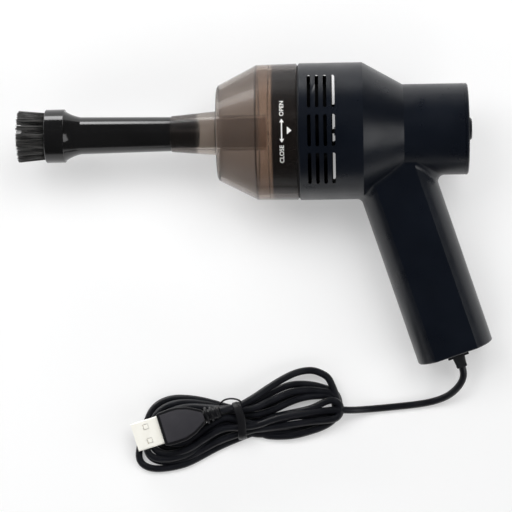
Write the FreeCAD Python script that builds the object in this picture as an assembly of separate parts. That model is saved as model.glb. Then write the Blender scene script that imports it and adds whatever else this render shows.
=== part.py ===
import FreeCAD, Part
import math
import os

# A desk vacuum cleaner on a USB lead, lying on its side as it is put down.
# It is drawn to its own barrel: X runs along the barrel from the brush to the button, with
# x = 0 at the seam between the dust cup and the housing, the two half shells meet in the plane
# z = 0, and the handle hangs towards -Y.  At the end the whole tool is rolled over about X until
# the handle's end comes down on the surface beside the barrel.  All sizes are millimetres.

# Clearances
twist_gap = 0.3           # round faces that turn past each other
shaft_gap = 0.03          # shaft in its bearings, radial
slide_gap = 0.07          # nozzle's plug in the spout, radial
seat_gap = 0.1            # pieces dropped into ribs and pockets

# Housing: two half shells, barrel and handle in one
body_radius = 28.5
body_wall = 2.0
body_length = 26.4        # straight barrel behind the seam
shoulder_length = 16.8    # cone between the barrel and the rear
rear_radius = 19.0
rear_length = 25.2
barrel_edge = 0.45        # chamfer round the barrel's rims
parting_depth = 0.3       # fine groove where the shells meet
parting_width = 0.3

# Handle
handle_lead = 0.88        # how far ahead of the shoulder its front leaves the barrel
handle_rake = 18.2        # degrees, backwards from the barrel's normal
handle_length = 98.3      # along its centre line from the barrel's axis
handle_radius = 16.25
handle_flat = 13.5        # centre to each side flat
handle_wall = 2.0
handle_end_round = 0.8
handle_root_round = 2.6
handle_floor = 2.4        # wall that closes the handle's end

# Vent slots, cut straight through both shells
vent_width = 1.45
vent_length = 13.0
vent_first_x = 4.4
vent_pitch = 3.28
vent_columns = 4
vent_row_pitch = 15.7
vent_row_lift = 1.35      # middle row above the barrel's axis
vent_rows = 3

# Ribs inside the shells
lip_length = 0.85         # front lip that traps the filter holder's flange
lip_height = 0.5
flange_length = 1.2       # filter holder's flange behind that lip
flange_rib = 1.0
flange_rib_height = 1.3
motor_rib = 0.8
motor_rib_height = 3.0
cradle_x = 43.6
cradle_length = 1.6

# Screw bosses: place on the parting plane, along X and Y
boss_radius = 2.8
screw_radius = 1.0
screw_hole_radius = 1.3
screw_head_radius = 2.1
screw_head_height = 1.4
screw_head_depth = 7.0    # from the parting plane down to the head's seat
screw_pilot_depth = 6.5
barrel_boss_x = 21.6
barrel_boss_y = 22.3
rear_boss_x = 53.6
rear_boss_y = 13.2
handle_boss_offset = 7.4
handle_boss_high = 46.0   # along the handle's centre line
handle_boss_inset = 20.9  # lower one, from the handle's end

# Rear cap and power button
cap_lip = 1.6
cap_spigot_length = 3.0
cap_spigot_wall = 1.6
cap_seam = 0.3
button_radius = 4.7
button_proud = 1.8        # how far its tip stands out of the cap
button_travel = 1.5
button_flange = 1.3
button_flange_length = 1.0
button_edge = 0.6

# Push switch behind the button
switch_size = 8.4
switch_length = 9.0
switch_flange = 11.4
switch_flange_length = 1.2
switch_rib = 1.2
switch_rib_x = 57.0
switch_front_x = 55.6
plunger_radius = 1.9
plunger_depth = 3.4
terminal_width = 1.6
terminal_thickness = 0.5
terminal_length = 3.0
switch_terminal_spacing = 2.6

# Dust cup
seam_gap = 0.5
cup_step = 0.1            # the rim lies a hair under the housing's outside
cup_draw = 0.3            # the cup draws in a little from the rim to the cone
cup_waist_x = -17.5
cup_front_x = -34.1
cup_front_radius = 19.55
cup_wall = 1.8
cup_edge = 0.6
spout_root_radius = 9.2
spout_mouth_radius = 7.5
spout_mouth_x = -53.4
spout_bore_radius = 6.0
duct_radius = 7.5         # duct that carries on inside the cup
duct_end_x = -13.6

# Bayonet between the cup and the filter holder
rim_depth = 11.6          # thick band at the cup's mouth
lug_count = 3
lug_height = 1.2
lug_length = 3.0
lug_span = 9.0            # degrees
lug_x = -7.2
lug_start = 85.0          # degrees about X, first lug
track_end_play = 0.4
track_side_play = 1.5     # degrees
open_angle = 20.0         # degrees from closed to open

# Filter holder, seal and filter
collar_front_x = -10.8
collar_wall = 2.0
filter_ledge = 1.7        # step inside the collar that the filter's frame rests on
filter_pocket_x = -5.0
shroud_pocket_wall = 1.7
seal_width = 1.9
seal_thickness = 0.42
filter_frame_wall = 1.6
filter_frame_length = 5.4
filter_bar_width = 1.8
filter_bar_thickness = 0.7
pleat_pitch = 3.2
pleat_height = 3.6
pleat_count = 13
media_thickness = 0.6

# Nozzle with its ring of bristles
brush_ring_radius = 11.15
brush_ring_x = -105.9     # open end of the ring
brush_ring_length = 8.2
brush_ring_wall = 0.95
flare_length = 6.6
flare_root_radius = 10.4
nozzle_front_radius = 7.75
nozzle_rear_radius = 7.15
nozzle_plug_length = 11.8
nozzle_plug_taper = 0.12
nozzle_bore_radius = 4.7
nozzle_mouth_radius = 5.0
nozzle_mouth_wall = 1.2
socket_depth = 5.0
bristle_reach = 11.9      # from the ring's edge to the tips
bristle_tip_radius = 11.0
bristle_root_radius = 9.9
bristle_tip_bore = 5.9
tuft_count = 20
tuft_gap = 0.55
tuft_root_length = 1.6

# Fan
shroud_plate = 1.2
shroud_eye_radius = 8.5
eye_lip = 0.9
fan_front_x = 2.9
fan_back_x = 13.9
fan_plate = 0.8
fan_gap = 1.9             # from the blades' tips to the flange rib
fan_eye_radius = 8.0
fan_tip_drop = 0.7        # blades are lower at the rim
blade_count = 9
blade_thickness = 0.9
blade_sweep = 52.0        # degrees from root to tip
fan_hub_radius = 3.6

# Motor
bracket_x = 15.6
bracket_plate = 1.8
bracket_window_inner = 16.2
bracket_window_outer = 20.4
bracket_window_span = 64.0
motor_radius = 13.85
motor_length = 30.0
motor_wall = 1.0
motor_boss_radius = 4.0
motor_boss_length = 1.7
shaft_radius = 1.0
magnet_thickness = 2.3
magnet_span = 126.0
magnet_inset = 3.0
armature_radius = 10.1
armature_length = 18.0
armature_x = 23.0
pole_count = 3
pole_stem_width = 4.4
pole_shoe_thickness = 1.7
pole_shoe_span = 84.0
winding_width = 3.0
commutator_radius = 2.6
commutator_length = 3.2
end_bell_length = 3.0
brush_thickness = 0.5
brush_width = 2.2
brush_height = 3.2
motor_screw_spacing = 16.0
motor_screw_radius = 0.9
motor_screw_head_radius = 1.6
motor_screw_head = 1.0
motor_terminal_offset = 8.6

# Lead: gland, inner cable, wires and clamp
cord_diameter = 3.0
cable_offset = 0.5        # the cable's line lies beside the handle's centre line
gland_flange_width = 9.0
gland_flange_depth = 7.0
gland_flange_proud = 2.2
gland_neck_width = 6.6
gland_neck_depth = 5.2
gland_inner_thickness = 1.4
relief_length = 4.7
relief_root_width = 5.3
relief_tip_width = 4.1
relief_rib = 0.8
relief_rib_proud = 0.2
inner_cable_length = 14.0
clamp_inset = 9.9         # from the handle's end
clamp_width = 13.0
clamp_length = 4.0
clamp_height = 1.6
clamp_post_radius = 1.7
clamp_screw_spacing = 8.8
clamp_screw_radius = 0.8
clamp_screw_head_radius = 1.4
clamp_screw_head = 0.9
wire_diameter = 1.3
wire_run = 26.0           # straight lengths of the two wires up the handle
wire_spread = 1.0         # how far they part on the way
wire_bend_y = 17.0        # below the barrel's axis, where they turn towards the motor
wire_turn_y = 8.0
wire_height = 2.0         # off the parting plane there, one wire on each side
solder = 0.3              # how far a wire reaches onto its terminal

# USB plug
plug_shell_width = 12.0
plug_shell_height = 4.5
plug_shell_wall = 0.3
plug_shell_length = 11.6
plug_shell_buried = 3.0
plug_window = 2.3
plug_window_x = 4.6
plug_window_spacing = 6.0
tongue_width = 11.0
tongue_height = 1.9
tongue_setback = 0.6
contact_count = 4
contact_width = 1.1
contact_length = 4.2
contact_height = 0.22
contact_pitch = 2.5
grip_width = 13.2
grip_front_width = 12.4
grip_height = 7.4
grip_length = 12.2
grip_taper_length = 6.6
grip_tail_width = 5.2
grip_tail_height = 4.8
grip_edge_round = 1.2
plug_rib_count = 3
plug_rib_length = 1.3
plug_rib_gap = 1.1
plug_rib_width = 5.0
plug_rib_height = 4.6
plug_neck_radius = 1.9
plug_x = -41.1            # middle of the grip's front face, on the surface's plan
plug_y = -88.3
plug_turn = 196.9         # degrees, the way the plug points

# Hank of folded lead, held by a tie
lobe_height = 6.2
lobe_edge = 1.5
hank_x = -7.3             # middle of its waist, on the surface's plan
hank_y = -85.4
waist_turn = 10.0
waist_length = 10.0
waist_width = 14.6
waist_height = 9.0
waist_round = 3.6
tie_width = 3.0
tie_thickness = 0.8
tie_lap = 5.0             # flattened end of the tie, laid back over the band

tiny = 1e-6
axis_x = FreeCAD.Vector(1, 0, 0)
axis_z = FreeCAD.Vector(0, 0, 1)
origin = FreeCAD.Vector(0, 0, 0)


# Helpers

def unit(vector):
    return vector * (1.0 / vector.Length)


def corner_arc(before, corner, after, radius):
    # Start, middle and end of the tangent arc that rounds one corner.
    to_before = unit(before - corner)
    to_after = unit(after - corner)
    half = to_before.getAngle(to_after) / 2
    reach = radius / math.tan(half)
    middle = corner + unit(to_before + to_after) * (radius / math.sin(half) - radius)
    return corner + to_before * reach, middle, corner + to_after * reach


def rounded_wire(points, radii, closed):
    # Straight runs joined by tangent arcs; a radius of 0 leaves a sharp corner.
    count = len(points)
    corners = []
    for i in range(count):
        if radii[i] > 0:
            corners.append(corner_arc(points[i - 1], points[i], points[(i + 1) % count], radii[i]))
        else:
            corners.append((points[i], None, points[i]))
    edges = []
    for i in range(count):
        if corners[i][1]:
            edges.append(Part.Arc(*corners[i]).toShape())
        start = corners[i][2]
        stop = corners[(i + 1) % count][0]
        if (closed or i < count - 1) and start.distanceToPoint(stop) > tiny:
            edges.append(Part.LineSegment(start, stop).toShape())
    return Part.Wire(edges)


def turned(profile):
    # A solid of revolution about X from (x, r) or (x, r, corner chamfer) points.
    sharp = [FreeCAD.Vector(p[0], p[1], 0) for p in profile]
    points = []
    for i, here in enumerate(sharp):
        if len(profile[i]) > 2:
            points.append(here + unit(sharp[i - 1] - here) * profile[i][2])
            points.append(here + unit(sharp[(i + 1) % len(sharp)] - here) * profile[i][2])
        else:
            points.append(here)
    return Part.Face(Part.makePolygon(points + points[:1])).revolve(origin, axis_x, 360)


def disc(x, length, radius, bore=0):
    # A round plate or ring square to X.
    solid = Part.makeCylinder(radius, length, FreeCAD.Vector(x, 0, 0), axis_x)
    if bore:
        solid = solid.cut(Part.makeCylinder(bore, length, FreeCAD.Vector(x, 0, 0), axis_x))
    return solid


def ring_sector(x, length, inner, outer, start, span):
    # A block bent round X, from the angle start over span degrees.
    corners = [(x, inner), (x + length, inner), (x + length, outer), (x, outer)]
    points = [FreeCAD.Vector(a, b, 0) for a, b in corners]
    face = Part.Face(rounded_wire(points, [0] * 4, True))
    face.rotate(origin, axis_x, start)
    return face.revolve(origin, axis_x, span)


def block(x, y, z, length, width, height):
    # A box with its near end at x, centred on y and z.
    return Part.makeBox(length, width, height, FreeCAD.Vector(x, y - width / 2, z - height / 2))


def fused(shapes):
    whole = shapes[0].multiFuse(shapes[1:])
    return whole.removeSplitter()


def around_x(shape, count, start=0.0):
    # Copies of a shape, evenly spaced about the barrel axis.
    turns = [start + 360.0 * i / count for i in range(count)]
    return [shape.rotated(origin, axis_x, turn) for turn in turns]


def into_handle(shape):
    # From the handle's own frame, centre line along -Y, to its raked place under the barrel.
    return shape.rotated(origin, axis_z, handle_rake).translated(FreeCAD.Vector(handle_x, 0, 0))


def onto_cable(shape):
    # From the cable's own line to its place beside the handle's centre line.
    return into_handle(shape.translated(FreeCAD.Vector(cable_offset, 0, 0)))


def on_handle(distance, offset, z):
    # A point along the handle's centre line and across it.
    x = handle_x + distance * rake_sin + offset * rake_cos
    y = -distance * rake_cos + offset * rake_sin
    return FreeCAD.Vector(x, y, z)


def half_flat_width(radius, flat):
    return math.sqrt(radius ** 2 - flat ** 2)


# Places and radii that follow from the values above

shoulder_x = body_length
rear_x = shoulder_x + shoulder_length
body_inner = body_radius - body_wall
rear_inner = rear_radius - body_wall
flange_rib_radius = body_inner - flange_rib_height
motor_rib_radius = body_inner - motor_rib_height
collar_radius = body_inner - lip_height - twist_gap
filter_pocket_radius = collar_radius - collar_wall
cup_rim_radius = body_radius - cup_step
cup_waist_radius = cup_rim_radius - cup_draw
fan_radius = flange_rib_radius - fan_gap
clamp_distance = handle_length - clamp_inset
rake_cos = math.cos(math.radians(handle_rake))
rake_sin = math.sin(math.radians(handle_rake))
handle_x = shoulder_x - handle_lead + (handle_radius - body_radius * rake_sin) / rake_cos
rear_face_x = rear_x + rear_length
cap_face_x = rear_face_x + cap_lip
button_tip_x = cap_face_x + button_proud
bristle_tip_x = brush_ring_x - bristle_reach

# How the tool lies: rolled about X until the rounded corner at the handle's end is level with the
# barrel's underside, then moved so that the origin is under the middle of its box.

corner_reach = handle_length * rake_cos + half_flat_width(handle_radius, handle_flat) * rake_sin
corner_y = corner_reach - handle_end_round
corner_z = handle_flat - handle_end_round
roll = (math.asin((body_radius - handle_end_round) / math.hypot(corner_y, corner_z))
        - math.atan2(corner_z, corner_y))
end_half_width = handle_radius * math.hypot(rake_sin * math.cos(roll), math.sin(roll))
lowest_y = -handle_length * rake_cos * math.cos(roll) - end_half_width
handle_tip_x = (handle_x + (handle_length - handle_end_round) * rake_sin
                + (handle_radius - handle_end_round) * rake_cos + handle_end_round)
farthest_x = max(handle_tip_x, button_tip_x)
lie_shift = FreeCAD.Vector(-(bristle_tip_x + farthest_x) / 2, -(body_radius + lowest_y) / 2, body_radius)


def lie_down(shape):
    return shape.rotated(origin, axis_x, math.degrees(roll)).translated(lie_shift)


def lie_down_point(point):
    turn = FreeCAD.Rotation(axis_x, math.degrees(roll))
    return turn.multVec(point) + lie_shift


# Housing

def housing_form(inset):
    # Outer form of barrel and handle in one, drawn in by an even inset.
    barrel = turned([(0, 0), (0, body_radius - inset, barrel_edge),
                     (shoulder_x, body_radius - inset), (rear_x, rear_radius - inset),
                     (rear_face_x, rear_radius - inset), (rear_face_x, 0)])
    radius = handle_radius - inset
    flat = handle_flat - inset
    handle = handle_bar(0, handle_length - inset, radius, flat)
    end_edges = [e for e in handle.Edges if e.CenterOfMass.y < -(handle_length - inset) + tiny]
    handle = handle.makeFillet(handle_end_round, end_edges)
    handle = into_handle(handle)
    whole = fused([barrel, handle])
    return whole.makeFillet(handle_root_round + inset, root_edges(whole, barrel, handle))


def handle_bar(start, stop, radius, flat):
    # Round bar with two flats, along -Y of the handle's frame.
    half = half_flat_width(radius, flat)
    at = [FreeCAD.Vector(x, -start, z) for x, z in
          ((half, flat), (-half, flat), (-radius, 0), (-half, -flat), (half, -flat), (radius, 0))]
    edges = [Part.LineSegment(at[0], at[1]).toShape(), Part.Arc(at[1], at[2], at[3]).toShape(),
             Part.LineSegment(at[3], at[4]).toShape(), Part.Arc(at[4], at[5], at[0]).toShape()]
    return Part.Face(Part.Wire(edges)).extrude(FreeCAD.Vector(0, start - stop, 0))


def root_edges(whole, barrel, handle):
    # Edges where the handle's sides run into the barrel.
    found = []
    for edge in whole.Edges:
        middle = Part.Vertex(edge.valueAt((edge.FirstParameter + edge.LastParameter) / 2))
        on_barrel = any(face.distToShape(middle)[0] < 1e-4 for face in barrel.Faces)
        on_grip = any(face.distToShape(middle)[0] < 1e-4 for face in handle.Faces)
        if on_barrel and on_grip:
            found.append(edge)
    return found


def barrel_cavity():
    # Hollow of the barrel with its ribs left standing: front lip, flange rib, motor ribs, cradle.
    inner = body_inner
    lip_radius = body_inner - lip_height
    slope = math.atan2(body_radius - rear_radius, shoulder_length)
    draw = body_wall * math.tan(slope / 2)
    flange_end = lip_length + flange_length + seat_gap
    rib_end = flange_end + flange_rib
    bracket_front = bracket_x - seat_gap / 2
    bracket_back = bracket_x + bracket_plate + seat_gap / 2
    return turned([(0, 0), (0, lip_radius), (lip_length, lip_radius), (lip_length, inner),
                   (flange_end, inner), (flange_end, flange_rib_radius),
                   (rib_end, flange_rib_radius), (rib_end, inner),
                   (bracket_front - motor_rib, inner), (bracket_front - motor_rib, motor_rib_radius),
                   (bracket_front, motor_rib_radius), (bracket_front, inner),
                   (bracket_back, inner), (bracket_back, motor_rib_radius),
                   (bracket_back + motor_rib, motor_rib_radius), (bracket_back + motor_rib, inner),
                   (shoulder_x - draw, inner), (rear_x - draw, rear_inner),
                   (cradle_x, rear_inner), (cradle_x, motor_radius + seat_gap),
                   (cradle_x + cradle_length, motor_radius + seat_gap),
                   (cradle_x + cradle_length, rear_inner),
                   (switch_rib_x, rear_inner), (switch_rib_x, 0)])


def switch_bay():
    # Hollow behind the first switch rib, with square windows through both ribs for the switch.
    flange_front = switch_rib_x + switch_rib
    flange_back = flange_front + switch_flange_length + 2 * seat_gap
    window = switch_size + 2 * seat_gap
    return fused([disc(flange_front, flange_back - flange_front, rear_inner),
                  disc(flange_back + switch_rib, rear_face_x - flange_back - switch_rib, rear_inner),
                  block(switch_rib_x, 0, 0, flange_back + switch_rib - switch_rib_x, window, window)])


def vent_cutters():
    cutters = []
    half = (vent_length - vent_width) / 2
    deep = 2 * body_radius
    for column in range(vent_columns):
        x = vent_first_x + column * vent_pitch
        for row in range(vent_rows):
            y = vent_row_lift + (row - (vent_rows - 1) / 2) * vent_row_pitch
            slot = Part.makeBox(vent_width, 2 * half, deep,
                                FreeCAD.Vector(x - vent_width / 2, y - half, -body_radius))
            ends = [Part.makeCylinder(vent_width / 2, deep, FreeCAD.Vector(x, y + end, -body_radius))
                    for end in (-half, half)]
            cutters.append(slot.multiFuse(ends))
    return cutters


def boss_places():
    return [FreeCAD.Vector(barrel_boss_x, barrel_boss_y, 0),
            FreeCAD.Vector(barrel_boss_x, -barrel_boss_y, 0),
            FreeCAD.Vector(rear_boss_x, rear_boss_y, 0),
            on_handle(handle_boss_high, handle_boss_offset, 0),
            on_handle(handle_length - handle_boss_inset, handle_boss_offset, 0)]


def gland_hole():
    # Slot through the handle's end that holds the gland's neck.
    width = gland_neck_width + 2 * seat_gap
    depth = gland_neck_depth + 2 * seat_gap
    hole = Part.makeBox(width, 2 * handle_floor, depth,
                        FreeCAD.Vector(-width / 2, -handle_length - handle_floor / 2, -depth / 2))
    return onto_cable(hole)


def parting_groove():
    slab = Part.makeBox(400, 400, parting_width, FreeCAD.Vector(-200, -200, -parting_width / 2))
    return slab.cut(housing_form(parting_depth))


def housing_shells():
    form = housing_form(0)
    cavity = [barrel_cavity(), switch_bay(),
              into_handle(handle_bar(motor_radius + seat_gap, handle_length - handle_floor,
                                     handle_radius - handle_wall, handle_flat - handle_wall))]
    hollow = form.cut(cavity)
    reach = 2 * body_radius
    bosses = [Part.makeCylinder(boss_radius, 2 * reach, place - axis_z * reach).common(form)
              for place in boss_places()]
    posts = [post.common(form) for post in clamp_posts()]
    hollow = hollow.multiFuse(bosses + posts)
    hollow = hollow.cut(vent_cutters() + [gland_hole(), parting_groove()])
    upper = hollow.common(Part.makeBox(400, 400, 200, FreeCAD.Vector(-200, -200, 0)))
    lower = hollow.common(Part.makeBox(400, 400, 200, FreeCAD.Vector(-200, -200, -200)))
    pilots = [Part.makeCylinder(screw_radius, screw_pilot_depth, place) for place in boss_places()]
    through = []
    for place in boss_places():
        through.append(Part.makeCylinder(screw_hole_radius, reach, place - axis_z * reach))
        through.append(Part.makeCylinder(screw_head_radius + seat_gap, reach,
                                         place - axis_z * (reach + screw_head_depth)))
    upper = upper.cut(pilots)
    lower = lower.cut(through + clamp_pilots())
    return largest(upper), largest(lower)


def largest(shape):
    return max(shape.Solids, key=lambda solid: solid.Volume).removeSplitter()


def housing_screws():
    screws = []
    for place in boss_places():
        seat = place - axis_z * screw_head_depth
        shank = Part.makeCylinder(screw_radius, screw_head_depth + screw_pilot_depth - seat_gap, seat)
        head = Part.makeCylinder(screw_head_radius, screw_head_height, seat - axis_z * screw_head_height)
        slot = Part.makeBox(2 * screw_head_radius, 0.6, 0.6,
                            seat - axis_z * screw_head_height - FreeCAD.Vector(screw_head_radius, 0.3, 0))
        cross = slot.rotated(seat, axis_z, 90)
        screws.append(shank.fuse(head).cut([slot, cross]))
    return Part.makeCompound(screws)


# Rear end: cap, button and switch

def rear_cap():
    spigot_radius = rear_inner - seat_gap
    hole = button_radius + twist_gap
    cap = turned([(rear_face_x + cap_seam, hole), (rear_face_x + cap_seam, spigot_radius - cap_spigot_wall),
                  (rear_face_x - cap_spigot_length, spigot_radius - cap_spigot_wall),
                  (rear_face_x - cap_spigot_length, spigot_radius), (rear_face_x, spigot_radius),
                  (rear_face_x, rear_radius - parting_depth),
                  (rear_face_x + cap_seam, rear_radius - parting_depth),
                  (rear_face_x + cap_seam, rear_radius), (cap_face_x, rear_radius, barrel_edge),
                  (cap_face_x, hole)])
    return cap


def button_flange_x():
    return rear_face_x + cap_seam - seat_gap - button_flange_length


def power_button():
    flange_x = button_flange_x()
    return turned([(flange_x, 0), (flange_x, button_radius + button_flange),
                   (flange_x + button_flange_length, button_radius + button_flange),
                   (flange_x + button_flange_length, button_radius),
                   (button_tip_x, button_radius, button_edge), (button_tip_x, 0)])


def switch_body():
    flange_x = switch_rib_x + switch_rib + seat_gap
    body = fused([block(switch_front_x, 0, 0, switch_length, switch_size, switch_size),
                  block(flange_x, 0, 0, switch_flange_length, switch_flange, switch_flange)])
    rear = switch_front_x + switch_length
    well = plunger_depth + button_travel + seat_gap
    return body.cut(disc(rear - well, well, plunger_radius + shaft_gap))


def switch_plunger():
    rear = switch_front_x + switch_length
    return disc(rear - plunger_depth, button_flange_x() - rear + plunger_depth, plunger_radius)


def switch_terminals():
    legs = [block(switch_front_x - terminal_length, y, 0, terminal_length, terminal_thickness,
                  terminal_width)
            for y in (-switch_terminal_spacing / 2, switch_terminal_spacing / 2)]
    return Part.makeCompound(legs)


# Dust cup with its spout and bayonet tracks

def dust_cup():
    slope = math.atan2(cup_waist_radius - cup_front_radius, cup_waist_x - cup_front_x)
    waist_shift = cup_wall * math.tan(slope / 2)
    inner_front_x = cup_front_x + cup_wall
    inner_front_radius = (cup_front_radius + cup_wall * math.tan(slope)) - cup_wall / math.cos(slope)
    rim_bore = collar_radius + twist_gap
    rim_x = -seam_gap
    band_x = rim_x - rim_depth
    cup = turned([(rim_x, rim_bore), (rim_x, cup_rim_radius, barrel_edge),
                  (cup_waist_x, cup_waist_radius), (cup_front_x, cup_front_radius, cup_edge),
                  (cup_front_x, spout_root_radius), (spout_mouth_x, spout_mouth_radius, cup_edge / 2),
                  (spout_mouth_x, spout_bore_radius), (duct_end_x, spout_bore_radius),
                  (duct_end_x, duct_radius), (inner_front_x, duct_radius),
                  (inner_front_x, inner_front_radius),
                  (cup_waist_x + waist_shift, cup_waist_radius - cup_wall),
                  (band_x - (cup_waist_radius - cup_wall - rim_bore), cup_waist_radius - cup_wall),
                  (band_x, rim_bore)])
    return cup.cut(bayonet_tracks())


def bayonet_tracks():
    outer = collar_radius + lug_height + twist_gap
    inner = collar_radius
    x = lug_x - track_end_play
    width = lug_length + 2 * track_end_play
    track_span = lug_span + open_angle + 2 * track_side_play
    entry_span = lug_span + 2 * track_side_play
    start = lug_start - track_side_play
    track = ring_sector(x, width, inner, outer, start, track_span)
    entry = ring_sector(x, -x, inner, outer, start + open_angle, entry_span)
    return around_x(track.fuse(entry), lug_count)


# Filter holder that carries the cup, with its lugs, seal, frame and pleated filter

def filter_holder():
    flange_x = lip_length + seat_gap / 2
    flange_end = flange_x + flange_length
    flange_radius = body_inner - seat_gap
    shroud_pocket_radius = collar_radius - shroud_pocket_wall
    holder_bore = filter_pocket_radius - filter_ledge
    body = turned([(collar_front_x, filter_pocket_radius), (collar_front_x, collar_radius, barrel_edge),
                   (flange_x, collar_radius), (flange_x, flange_radius), (flange_end, flange_radius),
                   (flange_end, shroud_pocket_radius), (flange_end - shroud_plate, shroud_pocket_radius),
                   (flange_end - shroud_plate, holder_bore), (filter_pocket_x, holder_bore),
                   (filter_pocket_x, filter_pocket_radius)])
    lug = ring_sector(lug_x, lug_length, collar_radius - 0.5, collar_radius + lug_height, lug_start, lug_span)
    return fused([body] + around_x(lug, lug_count))


def cup_seal():
    return disc(-seal_thickness, seal_thickness, collar_radius + seal_width, collar_radius)


def filter_frame():
    outer = filter_pocket_radius
    x = filter_pocket_x - filter_frame_length
    ring = disc(x, filter_frame_length, outer, outer - filter_frame_wall)
    bar = block(x, 0, 0, filter_bar_thickness, 2 * outer - filter_frame_wall, filter_bar_width)
    cross = bar.rotated(origin, axis_x, 90)
    hub = disc(x, filter_bar_thickness, 2 * filter_bar_width)
    return fused([ring, bar, cross, hub])


def filter_media():
    # One sheet folded into pleats and trimmed round.
    low_x = filter_pocket_x - filter_frame_length + filter_bar_thickness
    span = pleat_count * pleat_pitch
    peaks = []
    for i in range(2 * pleat_count + 1):
        x = low_x if i % 2 == 0 else low_x + pleat_height
        peaks.append((x, -span / 2 + i * pleat_pitch / 2))
    back = [(x + media_thickness, y) for x, y in reversed(peaks)]
    points = [FreeCAD.Vector(x, y, -body_radius) for x, y in peaks + back]
    sheet = Part.Face(Part.makePolygon(points + points[:1])).extrude(axis_z * (2 * body_radius))
    radius = filter_pocket_radius - filter_frame_wall
    return sheet.common(disc(low_x, filter_frame_length, radius))


# Nozzle and brush

def nozzle_tube():
    ring_back = brush_ring_x + brush_ring_length
    flare_end = ring_back + flare_length
    plug_root = spout_bore_radius - slide_gap
    plug_end = spout_mouth_x + nozzle_plug_length
    socket_inner = nozzle_mouth_radius + nozzle_mouth_wall
    ring_bore = brush_ring_radius - brush_ring_wall
    shoulder = spout_mouth_x - seat_gap / 2
    start = FreeCAD.Vector(ring_back, flare_root_radius, 0)
    stop = FreeCAD.Vector(flare_end, nozzle_front_radius, 0)
    sag = (start + stop) * 0.5 - FreeCAD.Vector(0, (flare_root_radius - nozzle_front_radius) * 0.16, 0)
    before = [(brush_ring_x + socket_depth, ring_bore), (brush_ring_x, ring_bore),
              (brush_ring_x, brush_ring_radius), (ring_back, brush_ring_radius),
              (ring_back, flare_root_radius)]
    after = [(flare_end, nozzle_front_radius), (shoulder, nozzle_rear_radius), (shoulder, plug_root),
             (plug_end, plug_root - nozzle_plug_taper), (plug_end, nozzle_bore_radius),
             (flare_end, nozzle_bore_radius), (ring_back, nozzle_mouth_radius),
             (brush_ring_x, nozzle_mouth_radius), (brush_ring_x, socket_inner),
             (brush_ring_x + socket_depth, socket_inner), (brush_ring_x + socket_depth, ring_bore)]
    edges = [polyline(before), Part.Arc(start, sag, stop).toShape(), polyline(after)]
    wire = Part.Wire([edge for piece in edges for edge in piece.Edges])
    solid = Part.Face(wire).revolve(origin, axis_x, 360)
    crisp = [e for e in solid.Edges if abs(e.CenterOfMass.x - brush_ring_x) < tiny
             or abs(e.CenterOfMass.x - ring_back) < tiny]
    rims = [e for e in crisp if abs(e.Length - 2 * math.pi * brush_ring_radius) < tiny]
    return solid.makeChamfer(brush_ring_wall / 3, rims)


def polyline(points):
    return Part.makePolygon([FreeCAD.Vector(x, r, 0) for x, r in points])


def brush_bristles():
    # A ring of tufts that fan out a little towards their tips.
    socket_inner = nozzle_mouth_radius + nozzle_mouth_wall
    ring_bore = brush_ring_radius - brush_ring_wall
    back = brush_ring_x + socket_depth
    root_x = brush_ring_x - tuft_root_length
    ring = turned([(back, socket_inner), (back, ring_bore), (brush_ring_x, ring_bore),
                   (brush_ring_x, bristle_root_radius), (root_x, bristle_root_radius),
                   (bristle_tip_x, bristle_tip_radius), (bristle_tip_x, bristle_tip_bore),
                   (brush_ring_x, socket_inner)])
    gap = block(bristle_tip_x - 1, 0, 0, root_x - bristle_tip_x + 1, tuft_gap, 2 * body_radius)
    gap = gap.common(Part.makeBox(400, 400, 200, FreeCAD.Vector(-200, -200, 0)))
    return ring.cut(around_x(gap, tuft_count, 180.0 / tuft_count))


# Fan

def fan_shroud():
    flange_end = lip_length + seat_gap / 2 + flange_length
    plate_x = flange_end - shroud_plate
    radius = collar_radius - shroud_pocket_wall - seat_gap / 2
    plate = turned([(plate_x, shroud_eye_radius + eye_lip), (plate_x, radius), (flange_end, radius),
                    (flange_end, shroud_eye_radius), (plate_x - eye_lip, shroud_eye_radius),
                    (plate_x - eye_lip, shroud_eye_radius + eye_lip)])
    return plate


def impeller():
    backplate = disc(fan_back_x - fan_plate, fan_plate, fan_radius, shaft_radius)
    hub = disc(fan_front_x + fan_tip_drop, fan_back_x - fan_front_x - fan_tip_drop, fan_hub_radius,
               shaft_radius)
    envelope = turned([(fan_back_x, fan_hub_radius), (fan_back_x, fan_radius),
                       (fan_front_x + fan_tip_drop, fan_radius), (fan_front_x, fan_eye_radius),
                       (fan_front_x + fan_tip_drop, fan_hub_radius)])
    blades = [blade.common(envelope) for blade in around_x(fan_blade(), blade_count)]
    return fused([backplate, hub] + blades)


def fan_blade():
    # Swept-back blade: one arc, given its thickness square to the chord.
    root = fan_point(fan_hub_radius - 0.5, 0)
    middle = fan_point((fan_hub_radius + fan_radius) / 2, -blade_sweep * 0.32)
    tip = fan_point(fan_radius + 1, -blade_sweep)
    across = unit((tip - root).cross(axis_x)) * blade_thickness
    edges = [Part.Arc(root, middle, tip).toShape(), Part.LineSegment(tip, tip + across).toShape(),
             Part.Arc(tip + across, middle + across, root + across).toShape(),
             Part.LineSegment(root + across, root).toShape()]
    return Part.Face(Part.Wire(edges)).extrude(axis_x * (fan_back_x - fan_front_x))


def fan_point(radius, angle):
    turn = math.radians(angle)
    return FreeCAD.Vector(fan_front_x, radius * math.cos(turn), radius * math.sin(turn))


# Motor

def motor_front():
    return bracket_x + bracket_plate


def motor_back():
    return motor_front() + motor_length


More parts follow.
